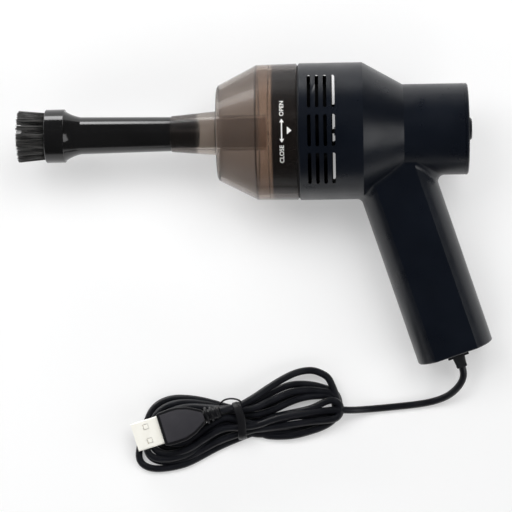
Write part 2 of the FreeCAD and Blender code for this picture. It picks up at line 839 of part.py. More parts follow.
def motor_bracket():
    plate = disc(bracket_x, bracket_plate, body_inner - seat_gap, motor_boss_radius + seat_gap)
    window = ring_sector(bracket_x, bracket_plate, bracket_window_inner, bracket_window_outer,
                         90 - bracket_window_span / 2, bracket_window_span)
    holes = [Part.makeCylinder(motor_screw_radius + seat_gap, bracket_plate,
                               FreeCAD.Vector(bracket_x, 0, z), axis_x)
             for z in (-motor_screw_spacing / 2, motor_screw_spacing / 2)]
    return plate.cut(around_x(window, 4, 45) + holes)


def motor_can():
    front = motor_front()
    back = motor_back()
    bore = shaft_radius + shaft_gap
    can = turned([(front - motor_boss_length, bore), (front - motor_boss_length, motor_boss_radius),
                  (front, motor_boss_radius), (front, motor_radius, motor_wall),
                  (back, motor_radius), (back, motor_radius - motor_wall),
                  (front + motor_wall, motor_radius - motor_wall), (front + motor_wall, bore)])
    holes = [Part.makeCylinder(motor_screw_radius, motor_wall, FreeCAD.Vector(front, 0, z), axis_x)
             for z in (-motor_screw_spacing / 2, motor_screw_spacing / 2)]
    return can.cut(holes)


def motor_screws():
    screws = []
    for z in (-motor_screw_spacing / 2, motor_screw_spacing / 2):
        head_x = bracket_x - motor_screw_head
        shank = Part.makeCylinder(motor_screw_radius, bracket_plate + motor_wall,
                                  FreeCAD.Vector(bracket_x, 0, z), axis_x)
        head = Part.makeCylinder(motor_screw_head_radius, motor_screw_head,
                                 FreeCAD.Vector(head_x, 0, z), axis_x)
        screws.append(shank.fuse(head))
    return Part.makeCompound(screws)


def motor_magnets():
    outer = motor_radius - motor_wall
    length = motor_length - 2 * magnet_inset
    magnet = ring_sector(motor_front() + magnet_inset, length, outer - magnet_thickness, outer,
                         -magnet_span / 2, magnet_span)
    return Part.makeCompound(around_x(magnet, 2))


def motor_shaft():
    return disc(fan_front_x + fan_tip_drop, motor_back() + end_bell_length - fan_front_x - fan_tip_drop,
                shaft_radius)


def motor_armature():
    core = disc(armature_x, armature_length, pole_stem_width, shaft_radius)
    inner = armature_radius - pole_shoe_thickness
    shoe = ring_sector(armature_x, armature_length, inner, armature_radius,
                       -pole_shoe_span / 2, pole_shoe_span)
    stem = Part.makeBox(armature_length, inner - shaft_radius, pole_stem_width,
                        FreeCAD.Vector(armature_x, 2 * shaft_radius, -pole_stem_width / 2))
    return fused([core] + around_x(shoe, pole_count) + around_x(stem, pole_count))


def motor_windings():
    # A coil round each pole's stem, standing out at both ends of the core.
    inner = armature_radius - pole_shoe_thickness
    start = math.hypot(pole_stem_width, pole_stem_width) - 1
    coils = []
    overhang = winding_width / 2
    for turn in around_x(Part.makeBox(armature_length + 2 * overhang, inner - start - seat_gap,
                                      pole_stem_width + winding_width,
                                      FreeCAD.Vector(armature_x - overhang, start,
                                                     -(pole_stem_width + winding_width) / 2)), pole_count):
        coils.append(turn.cut(motor_armature()))
    return Part.makeCompound([coil.Solids[0] for coil in coils])


def commutator():
    back = motor_back() - seat_gap
    return disc(back - commutator_length, commutator_length, commutator_radius, shaft_radius)


def motor_end_bell():
    back = motor_back()
    bore = shaft_radius + shaft_gap
    return turned([(back, bore), (back, motor_radius - seat_gap), (back + end_bell_length / 2,
                   motor_radius - seat_gap), (back + end_bell_length / 2, motor_boss_radius),
                   (back + end_bell_length, motor_boss_radius), (back + end_bell_length, bore)])


def motor_brushes():
    # Two sprung brushes that stand on the end bell and bear on the commutator.
    touch = commutator_radius + shaft_gap
    brushes = []
    for side in (-1, 1):
        low = touch if side > 0 else -touch - brush_thickness
        brushes.append(Part.makeBox(brush_height, brush_width, brush_thickness,
                                    FreeCAD.Vector(motor_back() - brush_height, -brush_width / 2, low)))
    return Part.makeCompound(brushes)


def motor_terminals():
    x = motor_back() + end_bell_length / 2
    tabs = [block(x, side * motor_terminal_offset, 0, terminal_length, terminal_thickness, terminal_width)
            for side in (-1, 1)]
    return Part.makeCompound(tabs)


# Lead inside the handle

def cord_gland():
    # Moulded strain relief: inner flange, neck in the shells' slot, outer flange, ribbed tail.
    end = -handle_length
    inner_y = end + handle_floor
    inner = centred_y(gland_flange_width, gland_inner_thickness, gland_flange_depth, inner_y)
    neck = centred_y(gland_neck_width, handle_floor, gland_neck_depth, end)
    outer = centred_y(gland_flange_width, gland_flange_proud, gland_flange_depth, end - gland_flange_proud)
    tail_top = end - gland_flange_proud
    tail = tapered_y(relief_root_width, relief_tip_width, relief_length, tail_top)
    rib_y = tail_top - relief_length + relief_rib
    rib = centred_y(relief_tip_width + 2 * relief_rib_proud, relief_rib,
                    relief_tip_width + 2 * relief_rib_proud, rib_y - relief_rib / 2)
    return onto_cable(fused([inner, neck, outer, tail, rib]))


def centred_y(width, thickness, depth, y):
    return Part.makeBox(width, thickness, depth, FreeCAD.Vector(-width / 2, y, -depth / 2))


def tapered_y(top, tip, length, y):
    wires = []
    for size, at in ((top, y), (tip, y - length)):
        half = size / 2
        corners = [(-half, -half), (half, -half), (half, half), (-half, half)]
        points = [FreeCAD.Vector(a, at, b) for a, b in corners]
        wires.append(rounded_wire(points, [size * 0.2] * 4, True))
    return Part.makeLoft(wires, True, True)


def inner_cable():
    start = -handle_length + handle_floor + gland_inner_thickness
    return onto_cable(Part.makeCylinder(cord_diameter / 2, inner_cable_length,
                                        FreeCAD.Vector(0, start, 0), FreeCAD.Vector(0, 1, 0)))


def clamp_places(z):
    # Points on the two clamp screws' axes, one on either side of the cable.
    return [on_handle(clamp_distance, cable_offset + side, z)
            for side in (-clamp_screw_spacing / 2, clamp_screw_spacing / 2)]


def clamp_posts():
    # Posts in the lower shell on either side of the cable.
    height = handle_flat - cord_diameter / 2
    return [Part.makeCylinder(clamp_post_radius, height, place) for place in clamp_places(-handle_flat)]


def clamp_pilots():
    depth = clamp_post_radius * 3
    return [Part.makeCylinder(clamp_screw_radius, depth, place)
            for place in clamp_places(-cord_diameter / 2 - depth)]


def clamp_plate_blank(width, length, z, height):
    plate = Part.makeBox(width, length, height,
                         FreeCAD.Vector(-width / 2, -clamp_distance - length / 2, z))
    return onto_cable(plate)


def cord_clamp():
    # Saddle plate that is screwed down over the cable.
    half_cable = cord_diameter / 2
    plate = clamp_plate_blank(clamp_width, clamp_length, -half_cable, half_cable + clamp_height)
    groove = onto_cable(Part.makeCylinder(half_cable, 4 * clamp_length,
                                          FreeCAD.Vector(0, -clamp_distance - 2 * clamp_length, 0),
                                          FreeCAD.Vector(0, 1, 0)))
    slot = clamp_plate_blank(cord_diameter, 2 * clamp_length, -cord_diameter, cord_diameter)
    holes = [Part.makeCylinder(clamp_screw_radius + seat_gap, 2 * cord_diameter, place)
             for place in clamp_places(-cord_diameter)]
    return plate.cut([groove, slot] + holes)


def clamp_screws():
    screws = []
    length = clamp_height + cord_diameter / 2 + clamp_post_radius * 2
    for place in clamp_places(clamp_height):
        shank = Part.makeCylinder(clamp_screw_radius, length, place - axis_z * length)
        head = Part.makeCylinder(clamp_screw_head_radius, clamp_screw_head, place)
        screws.append(shank.fuse(head))
    return Part.makeCompound(screws)


def tube(points, diameter, name):
    # Straight runs joined by tangent arcs, each as large as its two runs allow.
    radii = [0]
    for i in range(1, len(points) - 1):
        before = points[i] - points[i - 1]
        after = points[i + 1] - points[i]
        half_turn = before.getAngle(after) / 2
        radii.append(0.45 * min(before.Length, after.Length) / math.tan(half_turn))
    radii.append(0)
    path = rounded_wire(points, radii, False)
    section = Part.Wire(Part.makeCircle(diameter / 2, points[0], points[1] - points[0]))
    solid = path.makePipeShell([section], True, False)
    expected = math.pi * diameter ** 2 / 4 * path.Length
    print(name, "length %.1f" % path.Length, "volume ratio %.4f" % (solid.Volume / expected),
          "radii", [round(radius, 1) for radius in radii[1:-1]])
    return solid


def wire_from_cable(side):
    # Start of one wire at the end of the inner cable, beside the other.
    distance = handle_length - handle_floor - gland_inner_thickness - inner_cable_length
    return distance, cable_offset + side * cord_diameter / 4


def motor_wire_end(side):
    x = motor_back() + end_bell_length / 2 + terminal_length - solder
    return FreeCAD.Vector(x, side * motor_terminal_offset, 0)


def switch_wire_end(side):
    return FreeCAD.Vector(switch_front_x - terminal_length + solder, side * switch_terminal_spacing / 2, 0)


def supply_wires():
    # One wire to the switch, one to the motor, between the motor's end and the switch.
    distance, offset = wire_from_cable(1)
    other_offset = wire_from_cable(-1)[1]
    upper = distance - wire_run
    last = upper - wire_run + wire_spread
    gap_x = motor_back() + end_bell_length
    to_switch = [on_handle(distance, offset, 0), on_handle(upper, offset, 0),
                 on_handle(last, offset + wire_spread, 0),
                 FreeCAD.Vector(gap_x + wire_diameter / 2, -wire_bend_y, -wire_height),
                 FreeCAD.Vector(switch_front_x - terminal_length, -wire_turn_y, -wire_height),
                 switch_wire_end(-1)]
    to_motor = [on_handle(distance, other_offset, 0), on_handle(upper, other_offset, 0),
                on_handle(last, other_offset - wire_spread, 0),
                FreeCAD.Vector(gap_x - wire_diameter, -wire_bend_y, wire_height), motor_wire_end(-1)]
    return Part.makeCompound([tube(to_switch, wire_diameter, "switch wire"),
                              tube(to_motor, wire_diameter, "motor wire")])


def switch_link_wire():
    # From the switch's second terminal to the motor's far one.
    start = switch_wire_end(1)
    stop = motor_wire_end(1)
    middle = FreeCAD.Vector(start.x, (start.y + stop.y) / 2, wire_height)
    return tube([start, middle, stop], wire_diameter, "link wire")


# Free lead on the surface, its hank, tie and plug, all in the lying tool's frame

def cord_exit():
    tip = handle_length + gland_flange_proud + relief_length
    return lie_down_point(on_handle(tip, cable_offset, 0))


def cord_route():
    first = cord_exit()
    along = unit(first - lie_down_point(on_handle(handle_length, cable_offset, 0)))
    lift = cord_diameter / 2
    return [first, first + along * 2.4,
            FreeCAD.Vector(86.15, -69.3, 10.9), FreeCAD.Vector(84.3, -72.3, 8.6),
            FreeCAD.Vector(80.9, -75.4, 5.5), FreeCAD.Vector(75.9, -77.6, 2.6),
            FreeCAD.Vector(68.5, -79.05, lift), FreeCAD.Vector(58.0, -80.0, lift),
            FreeCAD.Vector(46.0, -80.85, lift), FreeCAD.Vector(35.5, -81.3, lift)]


def power_cord():
    return tube(cord_route(), cord_diameter, "power cord")


def lobe(outline):
    # One folded end of the hank: a smooth outline from its waist and back, with its top edge taken off.
    points = [FreeCAD.Vector(hank_x + x, hank_y + y, 0) for x, y in outline]
    curve = Part.BSplineCurve()
    curve.interpolate(points)
    neck = Part.LineSegment(points[-1], points[0]).toShape()
    solid = Part.Face(Part.Wire([curve.toShape(), neck])).extrude(axis_z * lobe_height)
    top = [edge for edge in solid.Edges if abs(edge.BoundBox.ZMin - lobe_height) < 1e-3
           and edge.Length > waist_width]
    return solid.makeChamfer(lobe_edge, top)


def waist_frame(shape):
    return shape.rotated(origin, axis_z, waist_turn).translated(FreeCAD.Vector(hank_x, hank_y, 0))


def waist_section(x, grow):
    half = waist_width / 2 + grow
    low = tie_thickness - grow
    top = tie_thickness + waist_height + grow
    corners = [(-half, low), (half, low), (half, top), (-half, top)]
    points = [FreeCAD.Vector(x, y, z) for y, z in corners]
    return Part.Face(rounded_wire(points, [waist_round + grow] * 4, True))


def cord_hank():
    right = lobe([(3.6, 6.2), (9.2, 12.4), (19.2, 18.8), (29.7, 22.1), (37.4, 19.0), (42.6, 12.4),
                  (42.8, 5.2), (36.2, -2.4), (24.6, -6.4), (13.2, -7.2), (4.8, -5.4)])
    left = lobe([(-3.4, -6.8), (-10.8, -13.8), (-21.8, -19.2), (-33.8, -20.8), (-42.4, -17.6), (-44.8, -10.2),
                 (-43.4, 0.2), (-38.2, 8.4), (-28.8, 11.4), (-16.8, 10.8), (-5.2, 6.8)])
    waist = waist_frame(waist_section(-waist_length / 2, 0).extrude(axis_x * waist_length))
    return fused([right, left, waist])


def cord_tie():
    # Band round the waist, with its end laid over the top.
    outer = waist_section(-tie_width / 2, tie_thickness).extrude(axis_x * tie_width)
    inner = waist_section(-tie_width / 2, 0).extrude(axis_x * tie_width)
    top = waist_height + 2 * tie_thickness
    end = Part.makeBox(tie_width, tie_lap, tie_thickness,
                       FreeCAD.Vector(-tie_width / 2, waist_width / 2 - waist_round - tie_lap, top))
    return waist_frame(fused([outer.cut(inner), end]))


def on_plug(shape):
    # From the plug's own frame, pointing along +X from the grip's front face, to its place.
    height = lobe_height + grip_height / 2
    return shape.rotated(origin, axis_z, plug_turn).translated(FreeCAD.Vector(plug_x, plug_y, height))


def usb_shell():
    length = plug_shell_length + plug_shell_buried
    outer = block(-plug_shell_buried, 0, 0, length, plug_shell_width, plug_shell_height)
    edges = [e for e in outer.Edges if abs(e.Length - length) < tiny]
    outer = outer.makeFillet(2 * plug_shell_wall, edges)
    inner = block(-plug_shell_buried, 0, 0, length, plug_shell_width - 2 * plug_shell_wall,
                  plug_shell_height - 2 * plug_shell_wall)
    windows = [block(plug_window_x, y, 0, plug_window, plug_window, 2 * plug_shell_height)
               for y in (-plug_window_spacing / 2, plug_window_spacing / 2)]
    return on_plug(outer.cut([inner] + windows))


def tongue_low():
    return -plug_shell_height / 2 + plug_shell_wall


def usb_tongue():
    length = plug_shell_length + plug_shell_buried - tongue_setback
    base = block(-plug_shell_buried, 0, tongue_low() + tongue_height / 2, length,
                 plug_shell_width - 2 * plug_shell_wall, tongue_height)
    return on_plug(base)


def usb_contacts():
    strips = []
    for i in range(contact_count):
        y = (i - (contact_count - 1) / 2) * contact_pitch
        x = plug_shell_length - tongue_setback - contact_length
        strips.append(on_plug(block(x, y, tongue_low() + tongue_height + contact_height / 2,
                                    contact_length, contact_width, contact_height)))
    return Part.makeCompound(strips)


def plug_section(x, width, height):
    half = width / 2
    tall = height / 2
    corners = [(-half, -tall), (half, -tall), (half, tall), (-half, tall)]
    points = [FreeCAD.Vector(x, y, z) for y, z in corners]
    return rounded_wire(points, [grip_edge_round] * 4, True)


def usb_grip():
    # Moulded grip: full body, taper to the tail, and a ribbed relief for the lead.
    front = Part.makeLoft([plug_section(0, grip_front_width, grip_height),
                           plug_section(-grip_length / 4, grip_width, grip_height),
                           plug_section(-grip_length, grip_width, grip_height)], True, True)
    taper = Part.makeLoft([plug_section(-grip_length, grip_width, grip_height),
                           plug_section(-grip_length - grip_taper_length, grip_tail_width,
                                        grip_tail_height)], True, True)
    tail_x = -grip_length - grip_taper_length
    pitch = plug_rib_length + plug_rib_gap
    ribs = [block(tail_x - (i + 1) * pitch, 0, 0, plug_rib_length, plug_rib_width - i * 0.4,
                  plug_rib_height - i * 0.4) for i in range(plug_rib_count)]
    neck = disc(tail_x - plug_rib_count * pitch, plug_rib_count * pitch + 0.5, plug_neck_radius)
    grip = fused([front, taper, neck] + ribs)
    pocket = block(-plug_shell_buried, 0, 0, plug_shell_buried, plug_shell_width, plug_shell_height)
    edges = [e for e in pocket.Edges if abs(e.Length - plug_shell_buried) < tiny]
    return on_plug(grip.cut(pocket.makeFillet(2 * plug_shell_wall, edges)))


def plug_lead():
    # Short stretch of lead from the plug back into the hank.
    tail = grip_length + grip_taper_length + plug_rib_count * (plug_rib_length + plug_rib_gap)
    turn = math.radians(plug_turn)
    height = lobe_height + grip_height / 2
    start = FreeCAD.Vector(plug_x - tail * math.cos(turn), plug_y - tail * math.sin(turn), height)
    along = FreeCAD.Vector(-math.cos(turn), -math.sin(turn), 0)
    return tube([start, start + along * 2.0, FreeCAD.Vector(-12.4, -79.6, height - 0.4)],
                cord_diameter, "plug lead")


def write_pieces():
    upper, lower = housing_shells()
    tool = {
        "housing_upper": upper,
        "housing_lower": lower,
        "housing_screws": housing_screws(),
        "rear_cap": rear_cap(),
        "power_button": power_button(),
        "switch_body": switch_body(),
        "switch_plunger": switch_plunger(),
        "switch_terminals": switch_terminals(),
        "dust_cup": dust_cup(),
        "cup_seal": cup_seal(),
        "filter_holder": filter_holder(),
        "filter_frame": filter_frame(),
        "filter_media": filter_media(),
        "nozzle_tube": nozzle_tube(),
        "brush_bristles": brush_bristles(),
        "fan_shroud": fan_shroud(),
        "impeller": impeller(),
        "motor_bracket": motor_bracket(),
        "motor_can": motor_can(),
        "motor_screws": motor_screws(),
        "motor_magnets": motor_magnets(),
        "motor_shaft": motor_shaft(),
        "motor_armature": motor_armature(),
        "motor_windings": motor_windings(),
        "commutator": commutator(),
        "motor_end_bell": motor_end_bell(),
        "motor_brushes": motor_brushes(),
        "motor_terminals": motor_terminals(),
        "cord_gland": cord_gland(),
        "inner_cable": inner_cable(),
        "cord_clamp": cord_clamp(),
        "clamp_screws": clamp_screws(),
        "supply_wires": supply_wires(),
        "switch_link_wire": switch_link_wire(),
    }
    pieces = {name: lie_down(shape) for name, shape in tool.items()}
    pieces["power_cord"] = power_cord()
    pieces["cord_hank"] = cord_hank()
    pieces["cord_tie"] = cord_tie()
    pieces["plug_lead"] = plug_lead()
    pieces["usb_grip"] = usb_grip()
    pieces["usb_shell"] = usb_shell()
    pieces["usb_tongue"] = usb_tongue()
    pieces["usb_contacts"] = usb_contacts()
    os.makedirs("parts", exist_ok=True)
    for name, shape in pieces.items():
        shape.exportStep("parts/" + name + ".step")
    print("roll %.2f degrees, shift" % math.degrees(roll), lie_shift)


write_pieces()
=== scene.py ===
import math
import random
import bmesh
import bpy
from mathutils import Matrix, Vector


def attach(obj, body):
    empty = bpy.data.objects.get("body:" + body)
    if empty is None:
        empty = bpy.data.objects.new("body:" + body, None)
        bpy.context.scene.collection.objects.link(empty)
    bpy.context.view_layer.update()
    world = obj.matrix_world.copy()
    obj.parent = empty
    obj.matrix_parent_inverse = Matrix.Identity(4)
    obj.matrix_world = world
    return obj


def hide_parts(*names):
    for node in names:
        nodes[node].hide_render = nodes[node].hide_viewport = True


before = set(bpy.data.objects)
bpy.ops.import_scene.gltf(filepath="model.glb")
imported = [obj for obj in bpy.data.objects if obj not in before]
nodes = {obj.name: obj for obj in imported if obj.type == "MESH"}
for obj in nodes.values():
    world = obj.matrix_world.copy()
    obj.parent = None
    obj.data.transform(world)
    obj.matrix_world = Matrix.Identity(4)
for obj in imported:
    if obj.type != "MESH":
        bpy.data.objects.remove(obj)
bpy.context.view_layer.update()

mm = 0.001  # the frame is in metres; dictionaries whose heading says so hold millimetres
barrel = {"y": 34.666 * mm, "z": 28.5 * mm, "seamX": 19.307 * mm}  # the barrel's axis runs along X


def barrelX(distance):
    # a place along the barrel, counted in millimetres from the seam between cup and housing
    return barrel["seamX"] + distance * mm


# Camera: nearly straight down, a little below the middle of the object

view = {
    "place": (34.58 * mm, -93.12 * mm, 1016.67 * mm),
    "yaw": 1.966,
    "pitch": 4.405,
    "roll": -0.805,
    "lens": 167.7,
    "sensor": 36.0,
    "near": 0.05,
    "far": 20,
}


def addCamera():
    yaw, pitch, roll = (math.radians(view[key]) for key in ("yaw", "pitch", "roll"))
    forward = Vector((-math.sin(yaw), math.sin(pitch) * math.cos(yaw), -math.cos(pitch) * math.cos(yaw)))
    forward.normalize()
    level = forward.cross(Vector((0, 1, 0))).normalized()
    above = level.cross(forward)
    right = level * math.cos(roll) + above * math.sin(roll)
    up = above * math.cos(roll) - level * math.sin(roll)
    turn = Matrix((right, up, -forward)).transposed()
    data = bpy.data.cameras.new("camera")
    data.lens = view["lens"]
    data.sensor_width = view["sensor"]
    data.sensor_fit = "HORIZONTAL"
    data.clip_start = view["near"]
    data.clip_end = view["far"]
    camera = bpy.data.objects.new("camera", data)
    camera.matrix_world = Matrix.Translation(view["place"]) @ turn.to_4x4()
    bpy.context.collection.objects.link(camera)
    bpy.context.scene.camera = camera


addCamera()
print("camera placed")


# Shared tools for meshes

def finishMesh(mesh, name, smooth=True):
    data = bpy.data.meshes.new(name)
    mesh.to_mesh(data)
    mesh.free()
    for face in data.polygons:
        face.use_smooth = smooth
    piece = bpy.data.objects.new(name, data)
    bpy.context.collection.objects.link(piece)
    return piece


def smoothEdges(piece, angle):
    # round faces shade smoothly and corners sharper than the angle stay crisp
    piece.data.set_sharp_from_angle(angle=math.radians(angle))


def splineCurve(name, points, diameter, sides=4, steps=6):
    # one smooth spline with a round section; with no diameter it is only its own line
    data = bpy.data.curves.new(name, "CURVE")
    data.dimensions = "3D"
    data.resolution_u = steps
    data.bevel_depth = diameter / 2
    data.bevel_resolution = sides
    data.use_fill_caps = True
    spline = data.splines.new("NURBS")
    spline.points.add(len(points) - 1)
    for point, place in zip(spline.points, points):
        point.co = (*place, 1)
    spline.order_u = 3
    spline.use_endpoint_u = True
    return bpy.data.objects.new(name, data)


def tubePiece(name, points, diameter, sides=4, steps=6):
    # the spline as a mesh tube, and the line down its middle
    line = bpy.data.meshes.new_from_object(splineCurve(name + "_line", points, 0, sides, steps))
    path = [tuple(vertex.co) for vertex in line.vertices]
    tube = bpy.data.meshes.new_from_object(splineCurve(name + "_tube", points, diameter, sides, steps))
    for face in tube.polygons:
        face.use_smooth = True
    piece = bpy.data.objects.new(name, tube)
    bpy.context.collection.objects.link(piece)
    return piece, path


# Lead: out of the gland, down to the table, across it and into a hank of six folds (points in millimetres)

lead = {
    "diameter": 3 * mm,
    "length": 1.24,
    "route": [(85.9, -63.85, 12.64), (86.64, -66.1, 12.28), (86.15, -69.3, 10.9), (84.3, -72.3, 8.6),
              (80.9, -75.4, 5.5), (75.9, -77.6, 2.6), (68.5, -79.05, 1.5), (58.0, -80.0, 1.5),
              (49.5, -80.7, 1.5)],
    "ontoHank": [(43.5, -81.1, 3.4), (38.5, -81.3, 6.4), (33.5, -81.0, 7.5), (28.5, -81.3, 7.5),
                 (23.5, -81.8, 7.5), (17.5, -82.5, 7.4), (11.0, -83.5, 7.4), (5.0, -85.0, 7.4),
                 (0.0, -87.0, 7.4)],
    "offHank": [(-12.8, -79.8, 9.6)],
    "plugTail": (-16.2, -80.7, 9.9),
}
hank = {
    "waist": (-7.5, -85.2),      # middle of the tied waist
    "waistTurn": 10,             # degrees
    # passes under the tie: how far across it, and how high
    "inward": [(-2.8, 7.4), (-5.0, 4.5), (-6.4, 1.5), (-3.6, 1.5), (-2.1, 4.5), (0.2, 7.4), (6.1, 7.4)],
    "outward": [(4.6, 7.4), (6.2, 4.5), (4.7, 1.5), (2.1, 1.5), (2.7, 4.5), (-0.6, 1.5)],
    "leftOuter": [(-14.0, -94.5), (-19.5, -97.0), (-25.0, -100.0), (-31.5, -103.2), (-39.5, -104.8),
                  (-46.0, -104.9), (-50.6, -102.6), (-51.6, -98.3), (-49.9, -92.0), (-47.0, -82.0),
                  (-43.5, -77.5), (-37.5, -75.0), (-31.0, -75.0), (-24.5, -76.0), (-19.0, -77.5),
                  (-14.0, -79.0)],
    "leftInner": [(-14.0, -83.0), (-18.5, -84.9), (-23.0, -87.8), (-27.5, -91.5), (-31.5, -93.8),
                  (-36.0, -94.3), (-39.8, -93.0), (-41.6, -90.0), (-41.2, -86.6), (-38.6, -84.0),
                  (-34.6, -82.7), (-30.5, -82.0), (-27.0, -81.5), (-22.5, -81.5), (-18.0, -81.5),
                  (-14.0, -81.0)],
    "rightOuter": [(-1.0, -77.5), (3.0, -74.5), (8.0, -72.0), (13.0, -70.0), (18.0, -69.5), (23.5, -70.0),
                   (28.5, -71.5), (32.5, -73.0), (34.0, -76.0), (34.5, -79.0), (34.0, -82.0), (31.5, -85.5),
                   (27.0, -88.0), (21.5, -89.5), (14.5, -91.0), (8.0, -91.3), (2.0, -91.2), (-2.5, -91.0)],
    "rightInner": [(-1.0, -82.7), (3.0, -81.7), (7.5, -80.2), (12.0, -78.0), (16.5, -76.3), (21.0, -75.3),
                   (25.5, -75.0), (29.8, -75.0), (32.3, -77.5), (32.3, -81.1), (29.8, -83.6), (25.0, -83.7),
                   (18.5, -83.0), (13.5, -83.5), (8.5, -84.5), (4.5, -85.0), (1.0, -86.0), (-1.5, -86.5)],
    "rightLow": [(-1.5, -84.2), (2.5, -84.1), (7.5, -83.3), (13.0, -82.2), (18.0, -81.3), (22.0, -80.4),
                 (25.0, -79.2), (28.3, -77.5), (31.4, -76.7), (34.4, -78.5), (34.9, -81.8), (32.9, -84.8),
                 (28.8, -85.4), (24.0, -85.7), (18.0, -86.4), (11.0, -87.3), (4.0, -88.2), (-1.0, -88.5)],
    "rightTop": [(-2.0, -75.5), (2.5, -72.5), (8.0, -69.0), (13.5, -66.0), (18.0, -64.5), (22.5, -64.0),
                 (26.0, -65.0), (29.5, -67.0), (31.0, -70.0), (32.5, -74.0), (33.5, -77.5), (34.0, -81.5),
                 (31.5, -85.5), (27.5, -88.0), (21.5, -90.0), (14.5, -91.7), (7.5, -92.0), (1.5, -91.3)],
    # which line each fold follows: its share of the way out, at its start and at its end
    "leftShares": [(0.42, 0.42), (0.80, 0.45), (1.0, 1.0), (0.60, 0.72), (0.22, 0.22), (0.02, 0.0)],
    "rightLines": [(0.56, 0.50), (1.0, 0.80), (0.35, 0.95), "rightLow", (0.0, 0.05), "rightTop"],
    "leftLevels": [4.5, 1.5, 1.5, 4.5, 1.5, 4.5],
    "rightLevels": [4.5, 1.5, 1.5, 7.2, 4.5, 4.5],
    "settling": 3.5,             # how soon a turn reaches its own level
}


def throughWaist(slot):
    # a pass under the tie, at one place across it and one level
    across, level = slot
    turn = math.radians(hank["waistTurn"])
    x, y = hank["waist"]
    return [(x - across * math.sin(turn), y + across * math.cos(turn), level)]


def between(outer, inner, shares):
    # a line whose share of the way out eases from its first value to its last
    points = []
    for i, (far, near) in enumerate(zip(outer, inner)):
        along = i / (len(outer) - 1)
        share = shares[0] + (shares[1] - shares[0]) * along * along * (3 - 2 * along)
        points.append((near[0] + (far[0] - near[0]) * share, near[1] + (far[1] - near[1]) * share))
    return points


def atLevel(flat, startLevel, level, endLevel):
    # a turn's height: level most of the way, easing to the waist's own levels at both ends
    points = []
    for i, (x, y) in enumerate(flat):
        along = i / (len(flat) - 1)
        settled = min(1, hank["settling"] * along, hank["settling"] * (1 - along))
        rest = startLevel if along < 0.5 else endLevel
        points.append((x, y, rest + (level - rest) * settled))
    return points


def rightFold(number):
    # most folds lie between the outer and the inner line; the last is run backwards, up to the plug
    line = hank["rightLines"][number]
    if line == "rightTop":
        return hank[line][::-1]
    if line == "rightLow":
        return hank[line]
    return between(hank["rightOuter"], hank["rightInner"], line)


def hankTurns():
    points = []
    folds = len(hank["outward"])
    for i in range(folds):
        inward, outward, following = hank["inward"][i], hank["outward"][i], hank["inward"][i + 1]
        left = between(hank["leftOuter"], hank["leftInner"], hank["leftShares"][i])
        points += throughWaist(inward)
        points += atLevel(left, inward[1], hank["leftLevels"][i], outward[1])
        points += throughWaist(outward)
        points += atLevel(rightFold(i), outward[1], hank["rightLevels"][i], following[1])
    return points + throughWaist(hank["inward"][folds])


def powerLead():
    points = lead["route"] + lead["ontoHank"] + hankTurns() + lead["offHank"] + [lead["plugTail"]]
    points = [tuple(value * mm for value in point) for point in points]
    piece, path = tubePiece("power_lead", points, lead["diameter"])
    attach(piece, "housing")
    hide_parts("power_cord", "cord_hank", "plug_lead")
    return piece, points[0], path


powerLeadPiece, leadExit, leadPath = powerLead()
print("lead laid out")


# Tie: a flat strip round the waist, with the loop of its wire core left showing (millimetres)

tie = {
    "middle": (-7.5, -84.9),
    "turn": 10,
    "halfWidth": 8.2,        # across the waist, to the strip's outer side
    "halfHeight": 5.7,
    "strip": 3.5,            # along the lead
    "thickness": 0.8,
    "softEdge": 0.3,
    "edgeShare": 0.6,        # of the flat's height, left at the strip's edges
    "core": 0.14,            # how proud the wire core stands
    "coreTop": 0.35,         # half widths of its ridge
    "coreFoot": 0.7,
    "bow": 0.5,
    "bowShift": -0.2,
    "steps": 72,
    "wire": 0.75,
    "wireLoop": [(-6.4, -78.6, 7.6), (-6.9, -77.4, 8.4), (-8.4, -76.2, 8.8), (-11.2, -75.6, 8.7),
                 (-13.8, -75.9, 7.8), (-15.8, -77.0, 6.4), (-16.6, -78.3, 5.4)],
}


def onWaist(mesh):
    # from the tie's own axes to its place on the hank, in metres
    x, y = tie["middle"]
    place = Matrix.Translation((x * mm, y * mm, tie["halfHeight"] * mm))
    turn = Matrix.Rotation(math.radians(tie["turn"]), 4, "Z")
    bmesh.ops.transform(mesh, matrix=place @ turn @ Matrix.Scale(mm, 4), verts=mesh.verts)


def tieStrip():
    mesh = bmesh.new()
    half, thick, radius = tie["strip"] / 2, tie["thickness"], tie["halfWidth"]
    flat = thick - tie["core"]
    halfSection = [(tie["coreTop"], thick), (tie["coreFoot"], flat), (half - tie["softEdge"], flat),
                   (half, flat * tie["edgeShare"]), (half, 0)]
    section = [(-x, lift) for x, lift in reversed(halfSection)] + halfSection
    corners = [mesh.verts.new((x, radius - thick + lift, 0)) for x, lift in section]
    edges = [mesh.edges.new((corners[i], corners[(i + 1) % len(corners)])) for i in range(len(corners))]
    bmesh.ops.spin(mesh, geom=corners + edges, cent=(0, 0, 0), axis=(1, 0, 0), angle=2 * math.pi,
                   steps=tie["steps"], use_merge=True)
    for vertex in mesh.verts:
        # squarer than an ellipse, and bowed between its ends
        x, y, z = vertex.co
        swell = math.hypot(y, z) / (abs(y) ** 3 + abs(z) ** 3) ** (1 / 3)
        bow = tie["bow"] * math.cos(y / radius * math.pi) + tie["bowShift"]
        vertex.co = (x + bow, y * swell, z * swell * tie["halfHeight"] / radius)
    bmesh.ops.recalc_face_normals(mesh, faces=mesh.faces)
    onWaist(mesh)
    piece = finishMesh(mesh, "tie_strip")
    smoothEdges(piece, 35)
    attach(piece, "housing")
    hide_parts("cord_tie")
    return piece


def tieWire():
    points = [tuple(value * mm for value in point) for point in tie["wireLoop"]]
    piece = tubePiece("tie_wire_loop", points, tie["wire"] * mm, sides=3, steps=8)[0]
    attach(piece, "housing")
    return piece


tiePieces = [tieStrip(), tieWire()]
print("tie fastened")


